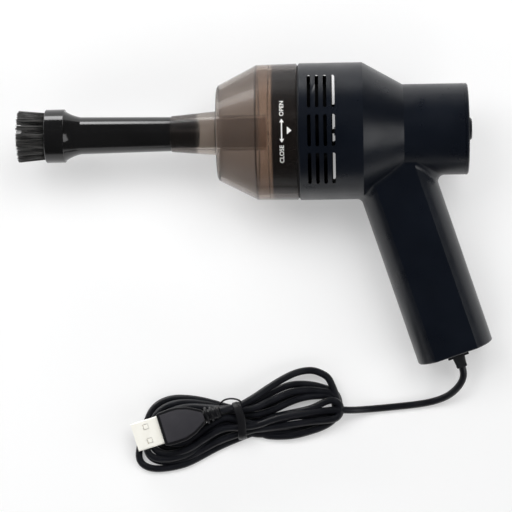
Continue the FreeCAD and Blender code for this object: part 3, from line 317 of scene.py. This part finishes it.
# Plug grip: a black moulding with a matt face and three ribs where the lead goes in (millimetres)

grip = {
    "junction": (-41.1, -88.6, 9.9),     # middle of the grip's end, where the shell comes out
    "turn": 16.9,
    "height": 7.4,
    "halfOutline": [(0.0, 6.6), (0.9, 7.3), (5.5, 7.5), (9.5, 7.3), (13.4, 6.1), (16.8, 4.2), (19.0, 2.9)],
    "rounding": 1.1,
    "faceInset": 1.25,
    "faceSunk": 0.4,
    "faceRise": 0.12,
    "faceRounding": 0.1,
    "ribs": [(20.2, 3.7), (22.3, 3.2), (24.4, 2.75)],     # place and radius
    "ribThickness": 1.25,
    "ribRounding": 0.45,
    "core": 2.5,
    "coreRounding": 0.3,
    "coreOverlap": 0.8,
    "tail": 26.0,
    "flattening": 0.9,
}


def onPlug(mesh):
    # from the plug's own axes, X back towards the lead, to its place, in metres
    place = Matrix.Translation([value * mm for value in grip["junction"]])
    turn = Matrix.Rotation(math.radians(grip["turn"]), 4, "Z")
    bmesh.ops.transform(mesh, matrix=place @ turn @ Matrix.Scale(mm, 4), verts=mesh.verts)


def gripOutline(inset):
    half = [(max(x, inset), y - inset) for x, y in grip["halfOutline"]]
    return half + [(x, -y) for x, y in reversed(half)]


def slab(mesh, outline, low, high):
    face = mesh.faces.new([mesh.verts.new((x, y, low)) for x, y in outline])
    made = bmesh.ops.extrude_face_region(mesh, geom=[face])
    top = [part for part in made["geom"] if isinstance(part, bmesh.types.BMVert)]
    bmesh.ops.translate(mesh, vec=(0, 0, high - low), verts=top)
    return top


def addCollar(mesh, middle, radius, thickness, rounding):
    # a short round collar across the lead, slightly flattened and with rounded edges
    made = bmesh.ops.create_cone(mesh, cap_ends=True, segments=32, radius1=radius, radius2=radius,
                                 depth=thickness)
    place = Matrix.Translation((middle, 0, 0)) @ Matrix.Rotation(math.radians(90), 4, "Y")
    bmesh.ops.transform(mesh, matrix=place, verts=made["verts"])
    bmesh.ops.scale(mesh, vec=(1, 1, grip["flattening"]), verts=made["verts"])
    rims = {edge for vertex in made["verts"] for edge in vertex.link_edges
            if abs(edge.verts[0].co.x - edge.verts[1].co.x) < 0.001}
    bmesh.ops.bevel(mesh, geom=list(rims), offset=rounding, segments=3, profile=0.5, material=-1,
                    affect="EDGES", clamp_overlap=True)


def gripBody():
    mesh = bmesh.new()
    slab(mesh, gripOutline(0), -grip["height"] / 2, grip["height"] / 2)
    bmesh.ops.recalc_face_normals(mesh, faces=mesh.faces)
    bmesh.ops.bevel(mesh, geom=mesh.edges[:], offset=grip["rounding"], segments=4, profile=0.5, material=-1,
                    affect="EDGES", clamp_overlap=True)
    for x, radius in grip["ribs"]:
        addCollar(mesh, x, radius, grip["ribThickness"], grip["ribRounding"])
    first, last = grip["halfOutline"][-1][0] - grip["coreOverlap"], grip["tail"]
    addCollar(mesh, (first + last) / 2, grip["core"], last - first, grip["coreRounding"])
    onPlug(mesh)
    piece = finishMesh(mesh, "grip_body")
    smoothEdges(piece, 40)
    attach(piece, "housing")
    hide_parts("usb_grip")
    return piece


def gripFace():
    mesh = bmesh.new()
    top = grip["height"] / 2
    slab(mesh, gripOutline(grip["faceInset"]), top - grip["faceSunk"], top + grip["faceRise"])
    bmesh.ops.recalc_face_normals(mesh, faces=mesh.faces)
    rim = [edge for edge in mesh.edges if all(vertex.co.z > top for vertex in edge.verts)]
    bmesh.ops.bevel(mesh, geom=rim, offset=grip["faceRounding"], segments=2, profile=0.5, material=-1,
                    affect="EDGES")
    onPlug(mesh)
    piece = finishMesh(mesh, "grip_face")
    smoothEdges(piece, 40)
    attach(piece, "housing")
    return piece


# Shell windows: plates in the shell's colour a little below the metal, painted light where the tongue under
# them lies in shade (millimetres, from the grip's end)

windows = {
    "x": -5.66,
    "middle": 0.29,
    "spacing": 6.0,
    "size": 1.95,
    "top": 2.12,
    "thickness": 0.5,
    "rounding": 0.12,
}


def windowLightPlates():
    mesh = bmesh.new()
    half = windows["size"] / 2
    corners = [(-half, -half), (half, -half), (half, half), (-half, half)]
    for side in (-0.5, 0.5):
        y = windows["middle"] + side * windows["spacing"]
        outline = [(windows["x"] + dx, y + dy) for dx, dy in corners]
        slab(mesh, outline, windows["top"] - windows["thickness"], windows["top"])
    bmesh.ops.recalc_face_normals(mesh, faces=mesh.faces)
    bmesh.ops.bevel(mesh, geom=mesh.edges[:], offset=windows["rounding"], segments=2, profile=0.5,
                    material=-1, affect="EDGES")
    onPlug(mesh)
    piece = finishMesh(mesh, "window_light_plates")
    smoothEdges(piece, 40)
    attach(piece, "housing")
    return piece


gripPieces = [gripBody(), gripFace(), windowLightPlates()]
print("plug made")


# Brush: tufts of nylon filaments that fan out a little

brush = {
    "tufts": 20,
    "filaments": 40,
    "thickness": 0.26 * mm,
    "tipTaper": 0.8,             # a tip's thickness as a share of its root's
    "rootX": -102.2,             # millimetres from the seam
    "tipX": -117.5,
    "rootCircle": 8.4 * mm,
    "tipCircle": 9.1 * mm,
    "rootSpread": 1.05 * mm,
    "tipSpread": 1.75 * mm,
    "flattening": 0.8,           # of a tuft, around the ring
    "angleJitter": 0.2,          # as a share of the step from tuft to tuft
    "lean": 0.7 * mm,
    "tipJitter": 0.25 * mm,
    "shortest": 0.6 * mm,        # how far a tip ends behind the common line, at most
    "longest": 0.21 * mm,        # and how far beyond it
    "seed": 11,
}


def brushTufts():
    draw = random.Random(brush["seed"])
    jitter = brush["tipJitter"]
    mesh = bmesh.new()
    for tuft in range(brush["tufts"]):
        shift = draw.uniform(-brush["angleJitter"], brush["angleJitter"])
        angle = 2 * math.pi * (tuft + shift) / brush["tufts"]
        lean = draw.uniform(-brush["lean"], brush["lean"])
        for filament in range(brush["filaments"]):
            around = filament * math.pi * (3 - math.sqrt(5))
            out = math.sqrt((filament + 0.5) / brush["filaments"])
            root = tuftPoint(angle, brush["rootCircle"], brush["rootSpread"] * out, around, 0)
            tip = tuftPoint(angle, brush["tipCircle"], brush["tipSpread"] * out, around, lean)
            root.x = barrelX(brush["rootX"])
            tip.x = barrelX(brush["tipX"]) + draw.uniform(-brush["longest"], brush["shortest"])
            tip += Vector((0, draw.uniform(-jitter, jitter), draw.uniform(-jitter, jitter)))
            addFilament(mesh, root, tip)
    piece = finishMesh(mesh, "brush_tufts")
    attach(piece, "nozzle")
    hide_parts("brush_bristles")
    return piece


def tuftPoint(angle, circle, spread, around, lean):
    radial = circle + spread * math.cos(around)
    sideways = spread * math.sin(around) * brush["flattening"] + lean
    return Vector((0, barrel["y"] + radial * math.cos(angle) - sideways * math.sin(angle),
                   barrel["z"] + radial * math.sin(angle) + sideways * math.cos(angle)))


def addFilament(mesh, root, tip):
    radius = brush["thickness"] / 2
    made = bmesh.ops.create_cone(mesh, cap_ends=True, segments=4, radius1=radius,
                                 radius2=radius * brush["tipTaper"], depth=(tip - root).length)
    turn = (tip - root).to_track_quat("Z", "Y").to_matrix().to_4x4()
    place = Matrix.Translation((root + tip) / 2) @ turn
    bmesh.ops.transform(mesh, matrix=place, verts=made["verts"])


brushPiece = brushTufts()
print("brush filled")


# Marks printed on the cup: which way to turn it (millimetres, from the seam and the barrel's axis)

marks = {
    "radius": 28.44,           # of the cup's band, with the print on it
    "thickness": 0.04,
    "fontSize": 2.4564,
    "boldness": 0.022,
    "letterSpacing": 1.06,
    "wordX": -5.9,             # right-hand edge of the letters
    "openY": 6.2,
    "closeY": -12.8,
    "arrowX": -6.7,
    "arrowLow": -7.9,
    "arrowHigh": 1.8,
    "pointerX": -4.55,
    "pointerY": -3.0,
    "pointerHalf": 1.55,
    "pointerDepth": 1.9,
    "arrowHalf": 0.95,
    "arrowHead": 1.5,
    "stemHalf": 0.26,
    "reach": 16,               # of the cuts that let the print follow the round wall
    "step": 0.7,               # between those cuts
}


def wrapOnCup(mesh):
    # flat outline in X and Y to the cup's round top, in millimetres from the seam and the axis
    for vertex in mesh.verts:
        x, y, lift = vertex.co
        radius = marks["radius"] + lift
        angle = y / marks["radius"]
        vertex.co = (barrelX(x), barrel["y"] + radius * math.sin(angle) * mm,
                     barrel["z"] + radius * math.cos(angle) * mm)


def wordMesh(mesh, word, middleY):
    data = bpy.data.curves.new(word, "FONT")
    data.body = word
    data.size = marks["fontSize"]
    data.align_x = "CENTER"
    data.offset = marks["boldness"]
    data.space_character = marks["letterSpacing"]
    text = bpy.data.objects.new(word, data)
    bpy.context.collection.objects.link(text)
    bpy.context.view_layer.update()
    flat = bpy.data.meshes.new_from_object(text)
    place = Matrix.Translation((marks["wordX"], middleY, 0)) @ Matrix.Rotation(math.radians(90), 4, "Z")
    flat.transform(place)
    mesh.from_mesh(flat)
    bpy.data.objects.remove(text)


def addOutline(mesh, points):
    corners = [mesh.verts.new((x, y, 0)) for x, y in points]
    mesh.faces.new(corners)


def cupMarks():
    mesh = bmesh.new()
    wordMesh(mesh, "OPEN", marks["openY"])
    wordMesh(mesh, "CLOSE", marks["closeY"])
    x, low, high = marks["arrowX"], marks["arrowLow"], marks["arrowHigh"]
    half, head, stem = marks["arrowHalf"], marks["arrowHead"], marks["stemHalf"]
    addOutline(mesh, [(x, low), (x + half, low + head), (x - half, low + head)])
    addOutline(mesh, [(x + stem, low + head), (x + stem, high - head), (x - stem, high - head),
                      (x - stem, low + head)])
    addOutline(mesh, [(x, high), (x - half, high - head), (x + half, high - head)])
    pointer, middle, wide = marks["pointerX"], marks["pointerY"], marks["pointerHalf"]
    addOutline(mesh, [(pointer, middle + wide), (pointer, middle - wide),
                      (pointer + marks["pointerDepth"], middle)])
    for cut in range(int(2 * marks["reach"] / marks["step"])):
        cutY = marks["closeY"] / 2 - marks["reach"] + cut * marks["step"]
        bmesh.ops.bisect_plane(mesh, geom=mesh.verts[:] + mesh.edges[:] + mesh.faces[:],
                               plane_co=(0, cutY, 0), plane_no=(0, 1, 0))
    bmesh.ops.triangulate(mesh, faces=mesh.faces)
    bmesh.ops.recalc_face_normals(mesh, faces=mesh.faces)
    if sum(face.normal.z for face in mesh.faces) < 0:
        bmesh.ops.reverse_faces(mesh, faces=mesh.faces)
    raised = bmesh.ops.extrude_face_region(mesh, geom=mesh.faces[:])
    for vertex in [part for part in raised["geom"] if isinstance(part, bmesh.types.BMVert)]:
        vertex.co.z += marks["thickness"]
    wrapOnCup(mesh)
    piece = finishMesh(mesh, "cup_marks", smooth=False)
    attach(piece, "cup")
    return piece


cupMarksPiece = cupMarks()
print("marks printed")


# Materials

def startMaterial(name, colour, roughness, metallic=0.0):
    material = bpy.data.materials.new(name)
    material.use_nodes = True
    shader = material.node_tree.nodes["Principled BSDF"]
    shader.inputs["Base Color"].default_value = (*colour, 1)
    shader.inputs["Roughness"].default_value = roughness
    shader.inputs["Metallic"].default_value = metallic
    return material, material.node_tree, shader


def objectPlace(tree, scale=(1, 1, 1)):
    coordinates = tree.nodes.new("ShaderNodeTexCoord")
    mapping = tree.nodes.new("ShaderNodeMapping")
    mapping.inputs["Scale"].default_value = scale
    tree.links.new(coordinates.outputs["Object"], mapping.inputs["Vector"])
    return mapping.outputs["Vector"]


def addNoise(tree, scale, detail=2.0, stretch=(1, 1, 1)):
    noise = tree.nodes.new("ShaderNodeTexNoise")
    noise.inputs["Scale"].default_value = scale
    noise.inputs["Detail"].default_value = detail
    tree.links.new(objectPlace(tree, stretch), noise.inputs["Vector"])
    return noise.outputs["Fac"]


def spread(tree, factor, low, high, start=0.35, stop=0.65):
    # maps a pattern's middle range to a range of values
    change = tree.nodes.new("ShaderNodeMapRange")
    change.inputs["From Min"].default_value = start
    change.inputs["From Max"].default_value = stop
    change.inputs["To Min"].default_value = low
    change.inputs["To Max"].default_value = high
    tree.links.new(factor, change.inputs["Value"])
    return change.outputs["Result"]


def twoColours(tree, factor, first, second):
    blend = tree.nodes.new("ShaderNodeMix")
    blend.data_type = "RGBA"
    blend.inputs["A"].default_value = (*first, 1)
    blend.inputs["B"].default_value = (*second, 1)
    tree.links.new(factor, blend.inputs["Factor"])
    return blend.outputs["Result"]


def addBump(tree, shader, height, distance):
    bump = tree.nodes.new("ShaderNodeBump")
    bump.inputs["Distance"].default_value = distance
    tree.links.new(height, bump.inputs["Height"])
    tree.links.new(bump.outputs["Normal"], shader.inputs["Normal"])


def mouldedPlastic(name, first, second, roughness, grain, depth, sheen=0.5):
    # moulded surface: slight colour drift, roughness that wanders, fine spark-eroded grain
    material, tree, shader = startMaterial(name, first, roughness)
    shader.inputs["Specular IOR Level"].default_value = sheen
    drift = spread(tree, addNoise(tree, 45, 3), 0, 1)
    tree.links.new(twoColours(tree, drift, first, second), shader.inputs["Base Color"])
    rough = spread(tree, addNoise(tree, 110, 4), roughness * 0.88, roughness * 1.14)
    tree.links.new(rough, shader.inputs["Roughness"])
    addBump(tree, shader, addNoise(tree, grain, 3), depth)
    return material


def housingPlastic():
    return mouldedPlastic("housing_plastic", (0.0036, 0.0050, 0.0085), (0.0048, 0.0066, 0.0110),
                          roughness=0.31, grain=3200, depth=0.00002, sheen=0.37)


def innerPlastic():
    return mouldedPlastic("inner_plastic", (0.010, 0.010, 0.011), (0.014, 0.014, 0.015), roughness=0.5,
                          grain=2600, depth=0.00003)


def nozzlePlastic():
    return mouldedPlastic("nozzle_plastic", (0.0060, 0.0060, 0.0062), (0.0085, 0.0085, 0.0088),
                          roughness=0.13, grain=900, depth=0.000006)


def whitePlastic():
    return mouldedPlastic("white_plastic", (0.62, 0.62, 0.60), (0.70, 0.70, 0.67), roughness=0.42,
                          grain=2400, depth=0.00002)


def tonguePlastic():
    return mouldedPlastic("tongue_plastic", (0.80, 0.80, 0.78), (0.86, 0.86, 0.84), roughness=0.38,
                          grain=2400, depth=0.00001)


cupLook = {
    "transmission": 0.95,
    "ior": 1.17,
    "coat": 0.4,
    "coatRoughness": 0.45,
    "roughness": (0.08, 0.12),
    "from": -45.0,                    # millimetres from the seam, as the colours' places are
    "to": 2.0,
    # the dark stops are painted shade: at the spout's end and over the collar, where dark parts lie behind
    # the wall, and along two rims; the others are the smoke's tint
    "stops": [(-45.0, (0.15, 0.13, 0.12)), (2.0, (0.12, 0.10, 0.09)), (-43.2, (0.15, 0.13, 0.12)),
              (-42.0, (0.47, 0.42, 0.38)), (-35.1, (0.45, 0.40, 0.36)), (-34.8, (0.05, 0.04, 0.04)),
              (-34.1, (0.05, 0.04, 0.04)), (-33.8, (0.48, 0.42, 0.38)), (-17.9, (0.52, 0.45, 0.40)),
              (-17.6, (0.14, 0.11, 0.10)), (-17.3, (0.14, 0.11, 0.10)), (-17.0, (0.60, 0.48, 0.40)),
              (-11.4, (0.60, 0.47, 0.38)), (-10.5, (0.16, 0.13, 0.12))],
    "flankShade": (0.62, 0.61, 0.61),      # painted shade: the colour deepens towards both flanks
    "flankStart": 8 * mm,             # from the barrel's axis
    "flankEnd": 27 * mm,
}


def alongCup(tree, x):
    # the smoke's colour along the barrel, with painted shade in its dark bands; a new ramp already has its
    # two end stops
    start, end = cupLook["from"], cupLook["to"]
    tintAndShade = tree.nodes.new("ShaderNodeValToRGB")
    tree.links.new(spread(tree, x, 0, 1, barrelX(start), barrelX(end)), tintAndShade.inputs["Fac"])
    stops = tintAndShade.color_ramp.elements
    for i, (place, colour) in enumerate(cupLook["stops"]):
        share = (place - start) / (end - start)
        stop = stops[i] if i < 2 else stops.new(share)
        stop.position = share
        stop.color = (*colour, 1)
    return tintAndShade.outputs["Color"]


def towardsFlanks(tree, y):
    # mask of the painted shade: 0 over the barrel's axis, 1 at its flanks
    sideways = tree.nodes.new("ShaderNodeMath")
    sideways.operation = "SUBTRACT"
    sideways.inputs[1].default_value = barrel["y"]
    tree.links.new(y, sideways.inputs[0])
    away = tree.nodes.new("ShaderNodeMath")
    away.operation = "ABSOLUTE"
    tree.links.new(sideways.outputs[0], away.inputs[0])
    return spread(tree, away.outputs[0], 0, 1, cupLook["flankStart"], cupLook["flankEnd"])


def cupPlastic():
    # smoke-brown see-through plastic, with painted shade that darkens it at the spout's end, along two rims,
    # towards the flanks and over the collar
    material, tree, shader = startMaterial("cup_plastic", (0.50, 0.42, 0.37), 0.1)
    shader.inputs["Transmission Weight"].default_value = cupLook["transmission"]
    shader.inputs["IOR"].default_value = cupLook["ior"]
    shader.inputs["Coat Weight"].default_value = cupLook["coat"]
    shader.inputs["Coat Roughness"].default_value = cupLook["coatRoughness"]
    split = tree.nodes.new("ShaderNodeSeparateXYZ")
    tree.links.new(objectPlace(tree), split.inputs[0])
    # painted shade: the smoke's colour is multiplied darker towards both flanks
    flankShade = tree.nodes.new("ShaderNodeMix")
    flankShade.data_type = "RGBA"
    flankShade.blend_type = "MULTIPLY"
    flankShade.inputs["B"].default_value = (*cupLook["flankShade"], 1)
    tree.links.new(towardsFlanks(tree, split.outputs["Y"]), flankShade.inputs["Factor"])
    tree.links.new(alongCup(tree, split.outputs["X"]), flankShade.inputs["A"])
    tree.links.new(flankShade.outputs["Result"], shader.inputs["Base Color"])
    tree.links.new(spread(tree, addNoise(tree, 240, 3), *cupLook["roughness"]), shader.inputs["Roughness"])
    return material


def bristleNylon():
    material, tree, shader = startMaterial("bristle_nylon", (0.012, 0.012, 0.012), 0.34)
    shade = spread(tree, addNoise(tree, 1500, 2, (0.05, 1, 1)), 0, 1)
    tree.links.new(twoColours(tree, shade, (0.010, 0.010, 0.010), (0.10, 0.098, 0.095)),
                   shader.inputs["Base Color"])
    tree.links.new(spread(tree, addNoise(tree, 4000, 2), 0.26, 0.44), shader.inputs["Roughness"])
    return material


def rubber(name, colour):
    material, tree, shader = startMaterial(name, colour, 0.68)
    tree.links.new(spread(tree, addNoise(tree, 300, 4), 0.6, 0.76), shader.inputs["Roughness"])
    addBump(tree, shader, addNoise(tree, 3000, 4), 0.00004)
    return material


def filterFabric():
    # felted fibre with a loose weave
    material, tree, shader = startMaterial("filter_fabric", (0.62, 0.61, 0.57), 0.95)
    fibre = addNoise(tree, 1800, 6, (1, 0.15, 1))
    tree.links.new(twoColours(tree, spread(tree, fibre, 0, 1), (0.5, 0.49, 0.45), (0.7, 0.69, 0.65)),
                   shader.inputs["Base Color"])
    addBump(tree, shader, fibre, 0.0002)
    return material


def metal(name, first, second, roughness, stretch):
    # rolled or drawn metal, with its marks drawn out one way
    material, tree, shader = startMaterial(name, first, roughness, 1.0)
    drawn = addNoise(tree, 1400, 4, stretch)
    tree.links.new(twoColours(tree, spread(tree, drawn, 0, 1), first, second), shader.inputs["Base Color"])
    tree.links.new(spread(tree, drawn, roughness * 0.8, roughness * 1.25), shader.inputs["Roughness"])
    addBump(tree, shader, drawn, 0.00001)
    return material


def laminatedSteel():
    # a stack of half-millimetre sheets along the shaft
    material, tree, shader = startMaterial("armature_steel", (0.33, 0.33, 0.34), 0.45, 1.0)
    wave = tree.nodes.new("ShaderNodeTexWave")
    wave.inputs["Scale"].default_value = 310
    wave.inputs["Distortion"].default_value = 0.2
    tree.links.new(objectPlace(tree), wave.inputs["Vector"])
    tree.links.new(twoColours(tree, wave.outputs["Fac"], (0.16, 0.16, 0.17), (0.38, 0.38, 0.39)),
                   shader.inputs["Base Color"])
    addBump(tree, shader, wave.outputs["Fac"], 0.00008)
    return material


def copperWire():
    # enamelled wire, wound side by side
    material, tree, shader = startMaterial("copper", (0.72, 0.27, 0.13), 0.3, 1.0)
    wave = tree.nodes.new("ShaderNodeTexWave")
    wave.bands_direction = "DIAGONAL"
    wave.inputs["Scale"].default_value = 420
    tree.links.new(objectPlace(tree), wave.inputs["Vector"])
    tree.links.new(twoColours(tree, wave.outputs["Fac"], (0.32, 0.09, 0.04), (0.78, 0.31, 0.15)),
                   shader.inputs["Base Color"])
    addBump(tree, shader, wave.outputs["Fac"], 0.00015)
    return material


def cordPvc():
    # extruded jacket: satin, with faint drawing lines and lint
    material, tree, shader = startMaterial("cord_pvc", (0.006, 0.0065, 0.009), 0.45)
    drift = spread(tree, addNoise(tree, 180, 3), 0, 1)
    tree.links.new(twoColours(tree, drift, (0.0045, 0.005, 0.007), (0.008, 0.0085, 0.0115)),
                   shader.inputs["Base Color"])
    tree.links.new(spread(tree, addNoise(tree, 420, 4), 0.40, 0.52), shader.inputs["Roughness"])
    addBump(tree, shader, addNoise(tree, 1600, 3), 0.00003)
    return material


def gripPlastic():
    return mouldedPlastic("grip_plastic", (0.030, 0.029, 0.034), (0.040, 0.038, 0.044), roughness=0.62,
                          grain=3000, depth=0.00005)


def tiePlastic():
    # also the glossier body of the plug's grip
    return mouldedPlastic("tie_plastic", (0.005, 0.005, 0.006), (0.008, 0.008, 0.0095), roughness=0.4,
                          grain=1500, depth=0.00005)


def wirePvc():
    return mouldedPlastic("wire_pvc", (0.30, 0.020, 0.015), (0.38, 0.030, 0.022), roughness=0.4,
                          grain=1800, depth=0.00003)


def plugMetal():
    # nickel plate with a warm cast
    material, tree, shader = startMaterial("plug_metal", (0.98, 0.96, 0.88), 0.42, 0.12)
    drawn = addNoise(tree, 260, 3, (1, 0.2, 1))
    tree.links.new(twoColours(tree, spread(tree, drawn, 0, 1), (0.965, 0.945, 0.865), (0.99, 0.975, 0.90)),
                   shader.inputs["Base Color"])
    tree.links.new(spread(tree, drawn, 0.38, 0.46), shader.inputs["Roughness"])
    return material


def printInk():
    material, tree, shader = startMaterial("print_ink", (0.86, 0.85, 0.83), 0.5)
    tree.links.new(twoColours(tree, spread(tree, addNoise(tree, 2500, 4), 0, 1), (0.78, 0.77, 0.75),
                              (0.88, 0.87, 0.85)), shader.inputs["Base Color"])
    return material


finishes = {
    "housing": housingPlastic(),
    "inner": innerPlastic(),
    "white": whitePlastic(),
    "cup": cupPlastic(),
    "nozzle": nozzlePlastic(),
    "bristle": bristleNylon(),
    "seal": rubber("seal_rubber", (0.02, 0.02, 0.02)),
    "gland": rubber("gland_rubber", (0.012, 0.013, 0.015)),
    "filter": filterFabric(),
    "steel": metal("steel", (0.50, 0.50, 0.51), (0.62, 0.62, 0.63), 0.3, (0.1, 1, 1)),
    "motorSteel": metal("motor_steel", (0.55, 0.55, 0.56), (0.66, 0.66, 0.68), 0.36, (0.08, 1, 1)),
    "armature": laminatedSteel(),
    "magnet": rubber("magnet", (0.045, 0.045, 0.05)),
    "copper": copperWire(),
    "brass": metal("brass", (0.68, 0.46, 0.18), (0.78, 0.56, 0.26), 0.3, (1, 0.1, 1)),
    "cord": cordPvc(),
    "wire": wirePvc(),
    "tie": tiePlastic(),
    "grip": gripPlastic(),
    "plug": plugMetal(),
    "tongue": tonguePlastic(),
    "ink": printInk(),
}
nodeFinish = {
    "housing": ["housing_upper", "housing_lower", "rear_cap", "power_button"],
    "inner": ["filter_holder", "filter_frame", "fan_shroud", "impeller", "motor_bracket", "cord_clamp",
              "switch_body"],
    "white": ["switch_plunger", "motor_end_bell"],
    "cup": ["dust_cup"],
    "nozzle": ["nozzle_tube"],
    "bristle": ["brush_bristles"],
    "seal": ["cup_seal"],
    "gland": ["cord_gland"],
    "filter": ["filter_media"],
    "steel": ["housing_screws", "motor_screws", "clamp_screws", "motor_shaft"],
    "motorSteel": ["motor_can"],
    "armature": ["motor_armature"],
    "magnet": ["motor_magnets"],
    "copper": ["motor_windings", "commutator", "motor_brushes"],
    "brass": ["motor_terminals", "switch_terminals", "usb_contacts"],
    "cord": ["power_cord", "cord_hank", "plug_lead", "inner_cable"],
    "wire": ["supply_wires", "switch_link_wire"],
    "tie": ["cord_tie"],
    "grip": ["usb_grip"],
    "plug": ["usb_shell"],
    "tongue": ["usb_tongue"],
}


def paint(piece, finish):
    piece.data.materials.clear()
    piece.data.materials.append(finishes[finish])


for finish, names in nodeFinish.items():
    for name in names:
        paint(nodes[name], finish)
sceneFinish = [(powerLeadPiece, "cord"), *((piece, "tie") for piece in tiePieces),
               *zip(gripPieces, ("tie", "grip", "plug")), (brushPiece, "bristle"), (cupMarksPiece, "ink")]
for piece, finish in sceneFinish:
    paint(piece, finish)
print("materials given to", sum(len(names) for names in nodeFinish.values()), "nodes and",
      len(sceneFinish), "pieces")


# Floor, light and background

studio = {
    "floorSize": 4.0,
    "floorDrop": 0.05 * mm,
    "floorColour": (0.95, 0.95, 0.952),
    "floorRoughness": 0.8,
    "floorSheen": 0.1,
    "floorOwn": 0.32,          # share of plain white that the camera, mirrors and glass see on it
    "horizon": 0.20,           # the sky's strength, low down and overhead
    "overhead": 0.03,
    "gradient": (0.02, 0.15),  # the heights between which it changes
}


def pureWhiteRays(tree):
    # 1 for rays from the camera and those that mirrors and glass send on
    path = tree.nodes.new("ShaderNodeLightPath")
    total = path.outputs["Is Camera Ray"]
    for name in ("Is Glossy Ray", "Is Transmission Ray"):
        most = tree.nodes.new("ShaderNodeMath")
        most.operation = "MAXIMUM"
        tree.links.new(total, most.inputs[0])
        tree.links.new(path.outputs[name], most.inputs[1])
        total = most.outputs[0]
    return total


def floorMaterial():
    material, tree, shader = startMaterial("floor_white", studio["floorColour"], studio["floorRoughness"])
    shader.inputs["Specular IOR Level"].default_value = studio["floorSheen"]
    white = tree.nodes.new("ShaderNodeEmission")
    share = tree.nodes.new("ShaderNodeMath")
    share.operation = "MULTIPLY"
    share.inputs[1].default_value = studio["floorOwn"]
    tree.links.new(pureWhiteRays(tree), share.inputs[0])
    mix = tree.nodes.new("ShaderNodeMixShader")
    tree.links.new(share.outputs[0], mix.inputs["Fac"])
    tree.links.new(shader.outputs[0], mix.inputs[1])
    tree.links.new(white.outputs[0], mix.inputs[2])
    tree.links.new(mix.outputs[0], tree.nodes["Material Output"].inputs["Surface"])
    return material


def addFloor():
    mesh = bmesh.new()
    bmesh.ops.create_grid(mesh, x_segments=1, y_segments=1, size=studio["floorSize"] / 2)
    bmesh.ops.translate(mesh, vec=(0, 0, -studio["floorDrop"]), verts=mesh.verts)
    floor = finishMesh(mesh, "floor", smooth=False)
    floor.data.materials.append(floorMaterial())


def addWorld():
    world = bpy.data.worlds.new("studio")
    bpy.context.scene.world = world
    world.use_nodes = True
    tree = world.node_tree
    back = tree.nodes["Background"]
    place = tree.nodes.new("ShaderNodeTexCoord")
    split = tree.nodes.new("ShaderNodeSeparateXYZ")
    tree.links.new(place.outputs["Generated"], split.inputs[0])
    height = spread(tree, split.outputs["Z"], studio["horizon"], studio["overhead"], *studio["gradient"])
    path = tree.nodes.new("ShaderNodeLightPath")
    strength = tree.nodes.new("ShaderNodeMix")
    strength.inputs["B"].default_value = 1.0
    tree.links.new(path.outputs["Is Camera Ray"], strength.inputs["Factor"])
    tree.links.new(height, strength.inputs["A"])
    tree.links.new(strength.outputs["Result"], back.inputs["Strength"])
    back.inputs["Color"].default_value = (1, 1, 1, 1)


lamps = {
    "backStrip": {"place": (-0.89, 1.30, 0.26), "target": (-0.89, 0, 0.02), "size": (1.6, 0.46),
                  "radiance": 9.0, "mirrored": True},
    "lowRight": {"place": (1.05, -0.20, 0.62), "target": (0.06, 0, 0.03), "size": (0.6, 0.5),
                 "radiance": 2.6, "mirrored": True},
    "backRight": {"place": (0.42, 0.48, 1.20), "target": (0, 0, 0), "size": (0.9, 0.8), "radiance": 3.65,
                  "mirrored": False},
    "backLeft": {"place": (-0.55, 0.46, 1.20), "target": (0, 0, 0), "size": (0.9, 0.8), "radiance": 3.65,
                 "mirrored": False},
    "frontRight": {"place": (0.75, -0.90, 0.95), "target": (0, 0, 0), "size": (1.2, 0.9), "radiance": 1.1,
                   "mirrored": False},
    "frontLeft": {"place": (-0.75, -0.90, 0.95), "target": (0, 0, 0), "size": (1.2, 0.9), "radiance": 1.1,
                  "mirrored": False},
}


def addLamp(name):
    # a soft panel that faces its target; its power follows from how bright its face looks
    values = lamps[name]
    width, height = values["size"]
    data = bpy.data.lights.new(name, "AREA")
    data.shape = "RECTANGLE"
    data.size = width
    data.size_y = height
    data.energy = values["radiance"] * math.pi * width * height
    lamp = bpy.data.objects.new(name, data)
    lamp.location = values["place"]
    away = Vector(values["place"]) - Vector(values["target"])
    lamp.rotation_euler = away.to_track_quat("Z", "Y").to_euler()
    lamp.visible_camera = False
    lamp.visible_glossy = values["mirrored"]
    bpy.context.collection.objects.link(lamp)


addFloor()
addWorld()
for lampName in lamps:
    addLamp(lampName)
bpy.context.scene.view_settings.view_transform = "Standard"
print("floor and light set")
